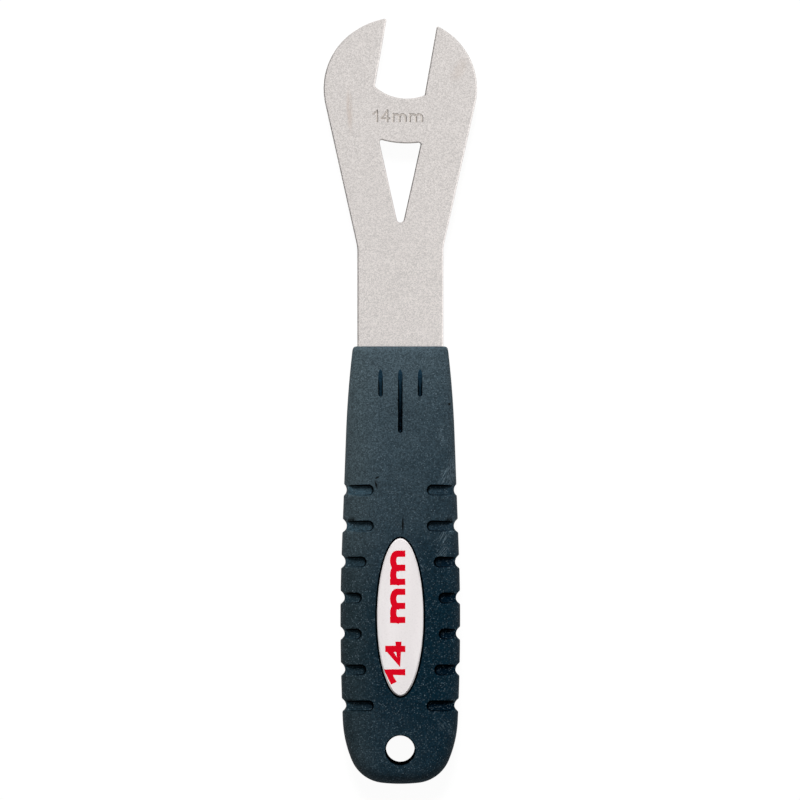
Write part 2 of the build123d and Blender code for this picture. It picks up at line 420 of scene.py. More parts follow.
def carve(
    target: bpy.types.Object,
    cutter: bpy.types.Object,
    keep: Cut = Cut.OUTSIDE,
    finish: bpy.types.Material | None = None,
) -> None:
    """Cuts one object with another, and removes the cutter.

    Args:
        target: the object that is cut.
        cutter: the closed form that cuts it.
        keep: which part of the target stays.
        finish: the material of the cut's surfaces, or None for the target's own.
    """
    if finish is not None:
        cutter.data.materials.append(finish)
    modifier = target.modifiers.new("cut", "BOOLEAN")
    modifier.operation = keep.value
    modifier.solver = "EXACT"
    modifier.material_mode = "TRANSFER" if finish is not None else "INDEX"
    modifier.use_self = True
    modifier.object = cutter
    settle(target)
    bpy.data.objects.remove(cutter)


def settle(target: bpy.types.Object) -> None:
    """Applies every modifier of an object to its mesh."""
    bpy.context.view_layer.update()
    shown = target.evaluated_get(bpy.context.evaluated_depsgraph_get())
    mesh = bpy.data.meshes.new_from_object(shown)
    target.modifiers.clear()
    target.data = mesh


def tidy_surface(target: bpy.types.Object) -> None:
    """Joins touching vertices, and shades the object smooth between its real edges."""
    shape = bmesh.new()
    shape.from_mesh(target.data)
    bmesh.ops.remove_doubles(shape, verts=shape.verts, dist=TOUCHING)
    bmesh.ops.recalc_face_normals(shape, faces=shape.faces)
    shape.to_mesh(target.data)
    shape.free()
    target.data.shade_smooth()
    target.data.set_sharp_from_angle(angle=SHARP_ANGLE)
    modifier = target.modifiers.new("even_normals", "WEIGHTED_NORMAL")
    modifier.weight = 100  # the largest faces set the normals
    modifier.keep_sharp = True
    settle(target)


def arch(left: float, right: float) -> list[Pair]:
    """One arch of the letter m, with its right stem.

    Args:
        left: the place of the stem on its left.
        right: the place of its right stem.

    Returns:
        The middle line of the stroke.
    """
    half = (right - left) / 2
    spring = 0.38  # the height at which the arch leaves its stems
    rise = 0.27
    steps = 10
    turns = [math.pi * step / steps for step in range(steps + 1)]
    curve = [(left + half * (1 - math.cos(turn)), spring + rise * math.sin(turn)) for turn in turns]
    return [*curve, (right, 0.0)]


@dataclass(frozen=True)
class Glyph:
    """A letter as strokes in a box whose height is 1.

    Attributes:
        width: the width of the box.
        strokes: the middle lines of its strokes.
    """

    width: float
    strokes: tuple[Sequence[Pair], ...]


GLYPHS = {
    "1": Glyph(0.36, ([(0.36, 0.0), (0.36, 1.0), (0.02, 0.7)],)),
    "4": Glyph(0.72, ([(0.55, 0.0), (0.55, 1.0)], [(0.46, 0.88), (0.0, 0.27), (0.72, 0.27)])),
    "m": Glyph(1.16, ([(0.0, 0.0), (0.0, 0.65)], arch(0.0, 0.58), arch(0.58, 1.16))),
    " ": Glyph(0.2, ()),
}


@dataclass(frozen=True)
class Lettering:
    """A line of plain letters, drawn with one flat-ended pen.

    Attributes:
        text: what it says.
        height: the height of the figures.
        centre: the middle of the line.
        pen: the width of the strokes.
        widen: how much wider the letters are than plain ones.
        spacing: the gap between the letters' middle lines, as a share of the height.
        turn: the turn of the line, anticlockwise, in degrees.
    """

    text: str
    height: float
    centre: Vector
    pen: float
    widen: float = 1.0
    spacing: float = 0.37
    turn: float = 0.0

    def strokes(self) -> list[Loop]:
        """The outlines of all strokes, in the frame."""
        tall = self.height - self.pen
        glyphs = [GLYPHS[letter] for letter in self.text]
        length = sum(glyph.width * self.widen for glyph in glyphs) + self.spacing * (len(glyphs) - 1)
        made = []
        cursor = -length / 2
        for glyph in glyphs:
            for stroke in glyph.strokes:
                line = [Vector((cursor + x * self.widen, y - 0.5)) * tall for x, y in stroke]
                line[0] += (line[0] - line[1]).normalized() * (self.pen / 2)
                line[-1] += (line[-1] - line[-2]).normalized() * (self.pen / 2)
                made.append(Loop.stroke(line, self.pen / 2, count=1).placed(self.centre, self.turn))
            cursor += glyph.width * self.widen + self.spacing
        return made

    def to_object(self, name: str, rings: Sequence[Ring]) -> bpy.types.Object:
        """The letters as one closed form.

        Args:
            name: the object's name.
            rings: from the bottom up, how far the strokes are widened at each height.

        Returns:
            The object, with the strokes of each letter grown together.
        """
        first, *others = (stroke.stack(rings).to_object(name) for stroke in self.strokes())
        for other in others:
            carve(first, other, Cut.BOTH)
        return first


# Shader nodes


class Term:
    """A shader socket that Python's operators work on, each adding its node."""

    def __init__(self, web: "Web", socket: bpy.types.NodeSocket) -> None:
        """Wraps an output socket of the web's tree."""
        self.web = web
        self.socket = socket

    @property
    def is_vector(self) -> bool:
        """Whether the socket carries a colour or a vector."""
        return self.socket.type in {"VECTOR", "RGBA"}

    def _with(self, operation: str, left: Any, right: Any) -> "Term":
        """Adds the node for one operation.

        Args:
            operation: the node's operation.
            left: a term or a number.
            right: a term or a number.

        Returns:
            The node's output.
        """
        vector = any(isinstance(side, Term) and side.is_vector for side in (left, right))
        kind = "ShaderNodeVectorMath" if vector else "ShaderNodeMath"
        return self.web.term(kind, {"operation": operation}, {0: left, 1: right})

    def __add__(self, other: Any) -> "Term":
        """self + other."""
        return self._with("ADD", self, other)

    def __radd__(self, other: Any) -> "Term":
        """other + self."""
        return self._with("ADD", other, self)

    def __sub__(self, other: Any) -> "Term":
        """self - other."""
        return self._with("SUBTRACT", self, other)

    def __rsub__(self, other: Any) -> "Term":
        """other - self."""
        return self._with("SUBTRACT", other, self)

    def __mul__(self, other: Any) -> "Term":
        """self * other."""
        return self._with("MULTIPLY", self, other)

    def __rmul__(self, other: Any) -> "Term":
        """other * self."""
        return self._with("MULTIPLY", other, self)


class Web:
    """The node tree of one material or of the world."""

    def __init__(self, tree: bpy.types.NodeTree) -> None:
        """Empties the tree."""
        self.tree = tree
        tree.nodes.clear()

    def add(
        self,
        kind: str,
        settings: Mapping[str, Any] | None = None,
        inputs: Mapping[int | str, Any] | None = None,
    ) -> bpy.types.Node:
        """Adds a node.

        Args:
            kind: the node's type.
            settings: its own settings, set first; "stops" gives a ramp's places and colours.
            inputs: for its sockets, a term to link or a value to set.

        Returns:
            The node.
        """
        node = self.tree.nodes.new(kind)
        for name, value in (settings or {}).items():
            if name == "stops":
                self._set_stops(node.color_ramp, value)
            else:
                setattr(node, name, value)
        for key, value in (inputs or {}).items():
            socket = node.inputs[key]
            if isinstance(value, Term):
                self.tree.links.new(value.socket, socket)
            elif isinstance(value, bpy.types.NodeSocket):
                self.tree.links.new(value, socket)
            elif isinstance(value, (int, float)) and hasattr(socket.default_value, "__len__"):
                socket.default_value = (value,) * len(socket.default_value)
            elif socket.type == "RGBA":
                socket.default_value = (*value, 1.0)
            else:
                socket.default_value = value
        return node

    def term(
        self,
        kind: str,
        settings: Mapping[str, Any] | None = None,
        inputs: Mapping[int | str, Any] | None = None,
        output: int | str = 0,
    ) -> Term:
        """Adds a node and wraps one of its outputs.

        Args:
            kind: the node's type.
            settings: its own settings.
            inputs: the values or links of its sockets.
            output: the output's name or place.

        Returns:
            The output, ready for operators.
        """
        return Term(self, self.add(kind, settings, inputs).outputs[output])

    @staticmethod
    def _set_stops(ramp: bpy.types.ColorRamp, stops: Sequence[tuple[float, Colour]]) -> None:
        """Gives a ramp its places and colours."""
        while len(ramp.elements) < len(stops):
            ramp.elements.new(0.5)
        for element, (place, colour) in zip(ramp.elements, stops):
            element.position = place
            element.color = (*colour, 1.0)

    def place(self) -> Term:
        """The point on the object, in metres in the frame."""
        return self.term("ShaderNodeTexCoord", output="Object")

    def turned(self, centre: Triple, turn: float) -> Term:
        """The point on the object, from a centre and in axes turned about Z.

        Args:
            centre: the point that becomes zero.
            turn: the direction of the new X axis, in degrees anticlockwise from the frame's.

        Returns:
            The point in the new axes.
        """
        return self.term(
            "ShaderNodeVectorRotate",
            {"rotation_type": "Z_AXIS", "invert": True},
            {"Vector": self.place() - self.vector(centre), "Angle": math.radians(turn)},
        )

    def vector(self, value: Triple) -> Term:
        """A constant vector."""
        return self.term("ShaderNodeCombineXYZ", {}, dict(enumerate(value)))

    def along(self, axis: Axis, vector: Term | None = None) -> Term:
        """One coordinate of a vector, or of the point on the object."""
        return self.term("ShaderNodeSeparateXYZ", {}, {0: vector or self.place()}, output=axis.value)

    def noise(
        self,
        grain: float,
        detail: float = 2.0,
        stretch: Triple = (1, 1, 1),
        where: Term | None = None,
    ) -> Term:
        """Even noise from 0 to 1.

        Args:
            grain: the size of its blotches, in metres.
            detail: how many finer layers it has.
            stretch: how much longer the blotches are along each axis.
            where: the coordinates to use instead of the point on the object.

        Returns:
            The noise.
        """
        squeezed = self.term(
            "ShaderNodeVectorMath",
            {"operation": "DIVIDE"},
            {0: where or self.place(), 1: stretch},
        )
        return self.term(
            "ShaderNodeTexNoise",
            {},
            {"Vector": squeezed, "Scale": 1 / grain, "Detail": detail, "Roughness": NOISE_FALL},
        )

    def between(
        self,
        value: Term,
        low: float,
        high: float,
        to_low: float = 0.0,
        to_high: float = 1.0,
    ) -> Term:
        """A value stretched from one range to another, smoothly at both ends.

        Args:
            value: what is stretched.
            low: the value that becomes to_low.
            high: the value that becomes to_high.
            to_low: the new lower value.
            to_high: the new upper value.

        Returns:
            The stretched value, held inside the new range.
        """
        return self.term(
            "ShaderNodeMapRange",
            {"interpolation_type": "SMOOTHSTEP"},
            {"Value": value, "From Min": low, "From Max": high, "To Min": to_low, "To Max": to_high},
        )

    def led(self, value: Term, points: Sequence[Pair]) -> Term:
        """A value led through points, straight from one to the next.

        Args:
            value: what is led.
            points: rising values, each with its result from 0 to 1.

        Returns:
            The result.
        """
        low, high = points[0][0], points[-1][0]
        stops = [((place - low) / (high - low), (level,) * 3) for place, level in points]
        share = (value - low) * (1 / (high - low))
        return self.along(Axis.X, self.term("ShaderNodeValToRGB", {"stops": stops}, {0: share}))

    def grains(self, size: float) -> Term:
        """A random level from 0 to 1 for each grain of a size."""
        inputs = {"Vector": self.place(), "Scale": 1 / size}
        cells = self.term("ShaderNodeTexVoronoi", {"feature": "F1"}, inputs, output="Color")
        return self.along(Axis.X, cells)

    def specks(self, spacing: float, size: float, share: float) -> Term:
        """Scattered small dots.

        Args:
            spacing: the average distance between places for dots.
            size: the diameter of a dot.
            share: how many of the places have one, from 0 to 1.

        Returns:
            1 in a dot and 0 elsewhere, with some dots fainter than others.
        """
        inputs = {"Vector": self.place(), "Scale": 1 / spacing}
        cells = self.add("ShaderNodeTexVoronoi", {"feature": "F1"}, inputs)
        near = self.between(Term(self, cells.outputs["Distance"]), size / spacing, size / spacing / 4)
        lot = self.term("ShaderNodeSeparateColor", {}, {0: cells.outputs["Color"]})
        return near * self.between(lot, 1 - share, 1.0)

    def shaded(self, colour: Colour | Term, tone: Term) -> Term:
        """A colour made lighter or darker."""
        return self.term("ShaderNodeVectorMath", {"operation": "SCALE"}, {0: colour, "Scale": tone})

    def mix(self, share: Any, first: Any, second: Any) -> Term:
        """A colour between two.

        Args:
            share: how much of the second, from 0 to 1.
            first: a colour or a term.
            second: a colour or a term.

        Returns:
            The mixed colour.
        """
        inputs = {0: share, 6: first, 7: second}  # a Mix node has its colours in sockets 6 and 7
        return self.term("ShaderNodeMix", {"data_type": "RGBA"}, inputs, output=2)

    def bump(self, height: Term, relief: float) -> Term:
        """The normals of a surface with a fine relief.

        Args:
            height: how high each point is, from 0 to 1.
            relief: the height that 1 stands for.

        Returns:
            The normals.
        """
        inputs = {"Strength": 1.0, "Distance": relief, "Height": height}
        return self.term("ShaderNodeBump", {}, inputs, output="Normal")

    def close(self, surface: bpy.types.Node) -> None:
        """Links a shader to the material's output."""
        self.add("ShaderNodeOutputMaterial", {}, {"Surface": surface.outputs[0]})

    def close_principled(self, inputs: Mapping[int | str, Any]) -> None:
        """Adds the material's main shader and links it to the output."""
        self.close(self.add("ShaderNodeBsdfPrincipled", {}, inputs))


def new_material(name: str) -> tuple[bpy.types.Material, Web]:
    """An empty material and its node web."""
    material = bpy.data.materials.new(name)
    material.use_nodes = True
    return material, Web(material.node_tree)


# Finishes


@dataclass(frozen=True)
class Patch:
    """A patch of marks: scratches, smears, stains, and in one case painted sheen.

    Attributes:
        centre: its middle in the plan.
        size: its half extents along and across its lines.
        turn: the direction of the lines, in degrees from +X.
        level: how plain it is, from 0 to 1.
        grain: the width of its lines.
        stretch: how much longer than wide they are.
        cover: how much of the patch they fill, from 0 to 0.6.
    """

    centre: Pair
    size: Pair
    turn: float
    level: float
    grain: float = 0.0003
    stretch: float = 14.0
    cover: float = 0.2

    def mask(self, web: Web) -> Term:
        """How strongly the surface is marked at each point."""
        here = web.turned((*self.centre, 0.0), self.turn)
        lines = web.noise(self.grain, detail=1, stretch=(self.stretch, 1, 1), where=here)
        flat = here * web.vector((1 / self.size[0], 1 / self.size[1], 0.0))
        away = web.term("ShaderNodeVectorMath", {"operation": "LENGTH"}, {0: flat}, output="Value")
        begin, full = (level - self.cover for level in PATCH_LINES)
        return web.between(lines, begin, full) * web.between(away, *PATCH_FADE) * self.level


@dataclass(frozen=True)
class BlastedSteel:
    """Bare steel with a fine, even, bead-blasted grain.

    Attributes:
        name: the material's name.
        colour: the metal's colour.
        shade: how dark the grain's hollows are, as a share of the colour.
        grain: the size of the grain.
        cloud: the size of its broad lighter and darker areas.
        cloud_swing: how much lighter or darker they are, as a share of the colour.
        roughness: how dull the surface is.
        roughness_swing: how much duller or shinier single grains are.
        relief: the depth of the grain.
        stains: where it is tarnished.
        tarnish: the colour of the stains.
    """

    name: str
    colour: Colour = (0.81, 0.768, 0.744)
    shade: float = 0.83
    grain: float = 0.00022
    cloud: float = 0.006
    cloud_swing: float = 0.015
    roughness: float = 0.42
    roughness_swing: float = 0.06
    relief: float = 0.000012
    stains: tuple[Patch, ...] = ()
    tarnish: Colour = (0.62, 0.5, 0.42)

    def material(self) -> bpy.types.Material:
        """Builds the material."""
        material, web = new_material(self.name)
        fine = web.grains(self.grain)
        broad = web.noise(self.cloud, detail=2)
        tone = web.between(fine, 0.0, 1.0, self.shade, 2 - self.shade)
        tone = tone * web.between(broad, *NOISE_RANGE, 1 - self.cloud_swing, 1 + self.cloud_swing)
        colour = web.shaded(self.colour, tone)
        for stain in self.stains:
            colour = web.mix(stain.mask(web), colour, self.tarnish)
        low, high = self.roughness - self.roughness_swing, self.roughness + self.roughness_swing
        web.close_principled({
            "Base Color": colour,
            "Metallic": 1.0,
            "Roughness": web.between(fine, *GRAIN_RANGE, low, high),
            "Normal": web.bump(web.noise(self.grain, detail=1), self.relief),
        })
        return material


# Places in Y, each with how much painted light the rubber has there, most towards the collar
RUBBER_PAINTED_LIGHT = (
    (-0.1035, 0.25),
    (-0.0904, 0.19),
    (-0.0792, 0.07),
    (-0.0694, 0.07),
    (-0.0588, 0.12),
    (-0.0485, 0.22),
    (-0.0387, 0.4),
    (-0.0304, 0.5),
    (-0.0164, 0.57),
    (-0.0108, 0.62),
    (0.0003, 0.68),
    (0.0059, 0.83),
    (0.0137, 0.86),
)


@dataclass(frozen=True)
class MouldedRubber:
    """Matt moulded rubber with pale grit and scuffed patches; paler towards the collar and on its left side
    by painted light, and darker on steep walls by painted shade.

    Attributes:
        name: the material's name.
        deep: the rubber's own colour.
        pale: its colour where the painted light is full.
        left_sheen: the colour of the painted sheen on its left side.
        left_sheen_share: how much of that painted sheen there is at the left edge.
        left_sheen_from: the places in X where the painted sheen begins, and where it is full.
        grit: the colour of its grit, its scuffed patches and its painted sheen patch.
        painted_light: places in Y, each with how much painted light the rubber has there.
        lean: how much more painted light the left side has than the right.
        lean_reach: how far from the middle that difference is full.
        cloud: the size of its broad lighter and darker areas.
        cloud_swing: how much lighter or darker they are.
        grain: the size of its finest grain.
        grain_shade: how dark the darkest grains are, as a share of the colour.
        blotch: the size of its pale blotches.
        blotch_range: the levels of noise where blotches begin, and where they are full.
        blotch_level: how plain the blotches are.
        speck: the size of its pale specks.
        speck_spacing: the distance between places for specks.
        speck_share: how many of those places have one.
        speck_level: how plain the specks are.
        walls: the brightness of steep walls, as a share of the level surfaces', which paints shade into
            hollows.
        wall_range: how far a surface faces up where it counts as a wall, and where as level.
        far_lift: how much more level a surface counts when it faces the lamp, so that such walls get less
            painted shade.
        scuffs_and_sheen: its scuffed patches, and a patch of painted sheen.
        nicks: its dark nicks.
        roughness: how dull the surface is.
        roughness_swing: how much duller or shinier it is from place to place.
        gloss: how strongly the surface mirrors.
        texture: the size of its fine texture.
        relief: the depth of its fine texture.
    """

    name: str
    deep: Colour = (0.0008, 0.0118, 0.0215)
    pale: Colour = (0.051, 0.076, 0.092)
    left_sheen: Colour = (0.06, 0.066, 0.046)
    left_sheen_share: float = 0.15
    left_sheen_from: Pair = (-0.004, -0.015)
    grit: Colour = (0.16, 0.22, 0.26)
    painted_light: tuple[Pair, ...] = RUBBER_PAINTED_LIGHT
    lean: float = 0.2
    lean_reach: float = 0.014
    cloud: float = 0.009
    cloud_swing: float = 0.05
    grain: float = 0.0003
    grain_shade: float = 0.66
    blotch: float = 0.00042
    blotch_range: Pair = (0.54, 0.8)
    blotch_level: float = 0.36
    speck: float = 0.00022
    speck_spacing: float = 0.0004
    speck_share: float = 0.6
    speck_level: float = 0.52
    walls: float = 1.0
    wall_range: Pair = (0.7, 0.96)
    far_lift: float = 0.45
    scuffs_and_sheen: tuple[Patch, ...] = ()
    nicks: tuple[Patch, ...] = ()
    roughness: float = 0.6
    roughness_swing: float = 0.07
    gloss: float = 0.08
    texture: float = 0.0004
    relief: float = 0.00003

    def marks(self, web: Web) -> Term:
        """How strongly the pale grit, the scuffed patches and the painted sheen patch show at each point."""
        aside = web.turned((0.1, 0.1, 0.0), 30.0)  # any place with a noise of its own
        blotches = web.between(web.noise(self.blotch, detail=1, where=aside), *self.blotch_range)
        shown = blotches * self.blotch_level
        shown = shown + web.specks(self.speck_spacing, self.speck, self.speck_share) * self.speck_level
        for patch_mark in self.scuffs_and_sheen:
            shown = shown + patch_mark.mask(web)
        return web.between(shown, 0.0, 1.0)

    def painted_light_share(self, web: Web) -> Term:
        """How much painted light the rubber has at each point, from 0 to 1."""
        # Painted light: paler towards the collar, from the table of places in Y.
        lit_share = web.led(web.along(Axis.Y), self.painted_light)
        # Painted light from the left: the left side is lighter than the right.
        reach, lean = self.lean_reach, self.lean / 2
        lit_share = lit_share + web.between(web.along(Axis.X), reach, -reach, -lean, lean)
        broad = web.noise(self.cloud, detail=3)
        lit_share = lit_share + web.between(broad, *NOISE_RANGE, -self.cloud_swing, self.cloud_swing)
        return web.between(lit_share, 0.0, 1.0)

    def painted_wall_shade(self, web: Web) -> Term:
        """Painted shade: the brightness of each point by how steep the surface is there."""
        facing = web.term("ShaderNodeTexCoord", output="Normal")
        lift = web.between(web.along(Axis.Y, facing), 0.0, 1.0, 0.0, self.far_lift)
        return web.between(web.along(Axis.Z, facing) + lift, *self.wall_range, self.walls, 1.0)

    def material(self) -> bpy.types.Material:
        """Builds the material."""
        material, web = new_material(self.name)
        colour = web.mix(self.painted_light_share(web), self.deep, self.pale)
        # Painted sheen on the left side.
        left_sheen_mask = web.between(web.along(Axis.X), *self.left_sheen_from, 0.0, self.left_sheen_share)
        colour = web.mix(left_sheen_mask, colour, self.left_sheen)
        grain = web.between(web.grains(self.grain), 0.0, 1.0, self.grain_shade, 2 - self.grain_shade)
        colour = web.mix(self.marks(web), web.shaded(colour, grain), self.grit)
        for nick in self.nicks:
            colour = web.shaded(colour, 1.0 - nick.mask(web))
        texture = web.noise(self.texture, detail=1)
        low, high = self.roughness - self.roughness_swing, self.roughness + self.roughness_swing
        web.close_principled({
            # painted shade on steep walls
            "Base Color": web.shaded(colour, self.painted_wall_shade(web)),
            "Roughness": web.between(texture, *GRAIN_RANGE, low, high),
            "Specular IOR Level": self.gloss,
            "Normal": web.bump(texture, self.relief),
        })
        return material


@dataclass(frozen=True)
class DomedResin:
    """Clear resin over an off-white label, with painted reflection streaks drawn out along it and grime.

    Attributes:
        colour: the label's colour.
        painted_streak_and_grime: its colour in the painted reflection streaks and where it is grimy.
        cloud: the size of the painted reflection streaks, which are drawn out along the badge.
        cloud_level: how plain the painted streaks are.
        grime: the size of the grime.
        grime_level: how plain the grime is.
        roughness: how dull the label is under the resin.
        roughness_swing: how much duller or shinier it is from place to place.
        coat: how strongly the resin mirrors.
        coat_roughness: how dull the resin is.
    """

    colour: Colour = (0.925, 0.877, 0.879)
    painted_streak_and_grime: Colour = (0.66, 0.62, 0.62)
    cloud: float = 0.004
    cloud_level: float = 0.16
    grime: float = 0.0005
    grime_level: float = 0.24
    roughness: float = 0.35
    roughness_swing: float = 0.04
    coat: float = 0.7
    coat_roughness: float = 0.12

    def material(self) -> bpy.types.Material:
        """Builds the material."""
        material, web = new_material("domed_resin")
        # Painted reflection streaks, drawn out along the badge.
        cloud = web.noise(self.cloud, detail=2, stretch=(1, 6, 1))
        grime = web.noise(self.grime, detail=3)
        painted_streak_and_grime = web.between(cloud, 0.35, 0.65, 0.0, self.cloud_level)
        painted_streak_and_grime = painted_streak_and_grime + web.between(grime, 0.5, 0.75, 0.0, self.grime_level)
        low, high = self.roughness - self.roughness_swing, self.roughness + self.roughness_swing
        web.close_principled({
            "Base Color": web.mix(painted_streak_and_grime, self.colour, self.painted_streak_and_grime),
            "Roughness": web.between(grime, *NOISE_RANGE, low, high),
            "Coat Weight": self.coat,
            "Coat Roughness": self.coat_roughness,
        })
        return material


@dataclass(frozen=True)
class PrintInk:
    """Red ink under the badge's resin.

    Attributes:
        colour: the ink's colour.
        worn: its colour where it is worn.
        wear: the size of the worn places.
        wear_level: how plain the wear is.
        roughness: how dull the ink is where it is whole, and where it is worn.
        gloss: how strongly the ink mirrors.
    """

    colour: Colour = (0.74, 0.0005, 0.014)
    worn: Colour = (0.55, 0.002, 0.02)
    wear: float = 0.0006
    wear_level: float = 0.15
    roughness: Pair = (0.32, 0.4)
    gloss: float = 0.1

    def material(self) -> bpy.types.Material:
        """Builds the material."""
        material, web = new_material("print_ink")
        wear = web.noise(self.wear, detail=3)
        worn = web.between(wear, 0.5, 0.8, 0.0, self.wear_level)
        web.close_principled({
            "Base Color": web.mix(worn, self.colour, self.worn),
            "Roughness": web.between(wear, *NOISE_RANGE, *self.roughness),
            "Specular IOR Level": self.gloss,
        })
        return material


# Patches: centre, half extents, turn and level, then what differs of grain, stretch and cover
BLADE_STAINS = (
    Patch((-0.0142, 0.0812), (0.008, 0.0012), 92.0, 0.4, 0.0008, 4.0, 0.35),
    Patch((0.0165, 0.0925), (0.005, 0.0025), 60.0, 0.2, 0.001, 2.0, 0.35),
)
GRIP_SCUFFS_AND_SHEEN = (
    Patch((0.0133, -0.0205), (0.0095, 0.003), 62.0, 0.42),
    Patch((0.0118, -0.009), (0.006, 0.0022), 80.0, 0.2, 0.0012, 3.0),
    Patch((0.0128, -0.0365), (0.007, 0.0022), 60.0, 0.4),
    Patch((0.0118, -0.0425), (0.005, 0.0022), 48.0, 0.35),
    Patch((0.0128, -0.0905), (0.009, 0.002), -48.0, 0.2),
    Patch((0.0138, -0.084), (0.004, 0.0016), 20.0, 0.2, 0.0008, 2.0),
    Patch((-0.0025, -0.0252), (0.004, 0.0007), -4.0, 0.3),
    Patch((0.0045, -0.0262), (0.0022, 0.0005), -4.0, 0.3),
    # Painted sheen along the left edge near the collar.
    Patch((-0.0141, 0.002), (0.015, 0.0014), 86.6, 0.1, 0.002, 4.0, 0.6),
)
GRIP_NICKS = (
    Patch((-0.0064, -0.0212), (0.0009, 0.0004), 30.0, 1.0, cover=0.6),
    Patch((-0.0067, -0.0232), (0.0017, 0.0004), 105.0, 1.0, 0.0006, 3.0, 0.4),
    Patch((0.0007, -0.0343), (0.0032, 0.0004), 90.0, 1.0, 0.0008, 4.0, 0.45),
    Patch((0.0137, -0.0008), (0.0006, 0.0005), 0.0, 1.0, cover=0.6),
    Patch((-0.0005, 0.0002), (0.0005, 0.0004), 0.0, 0.7, cover=0.6),
)


# The wrench


@dataclass(frozen=True)
class Datum:
    """Where the wrench lies in the frame.

    Attributes:
        heel: Y of the grip's heel.
        middle: Z of the middle of the plate.
    """

    heel: float
    middle: float

    @classmethod
    def from_frame(cls) -> "Datum":
        """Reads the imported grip's box."""
        low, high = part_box("grip")
        return cls(heel=low.y, middle=(low.z + high.z) / 2)

    def at(self, x: float, from_heel: float) -> Vector:
        """A place in the plan, given by its distance from the heel."""
        return Vector((x, self.heel + from_heel))


def dress(piece: bpy.types.Object, nodes: Iterable[str]) -> None:
    """Ties a finished piece to the frame.

    Args:
        piece: the piece.
        nodes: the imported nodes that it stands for.
    """
    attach(piece, BODY)
    for node in nodes:
        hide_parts(node)
    log.info("%s: %d faces", piece.name, len(piece.data.polygons))


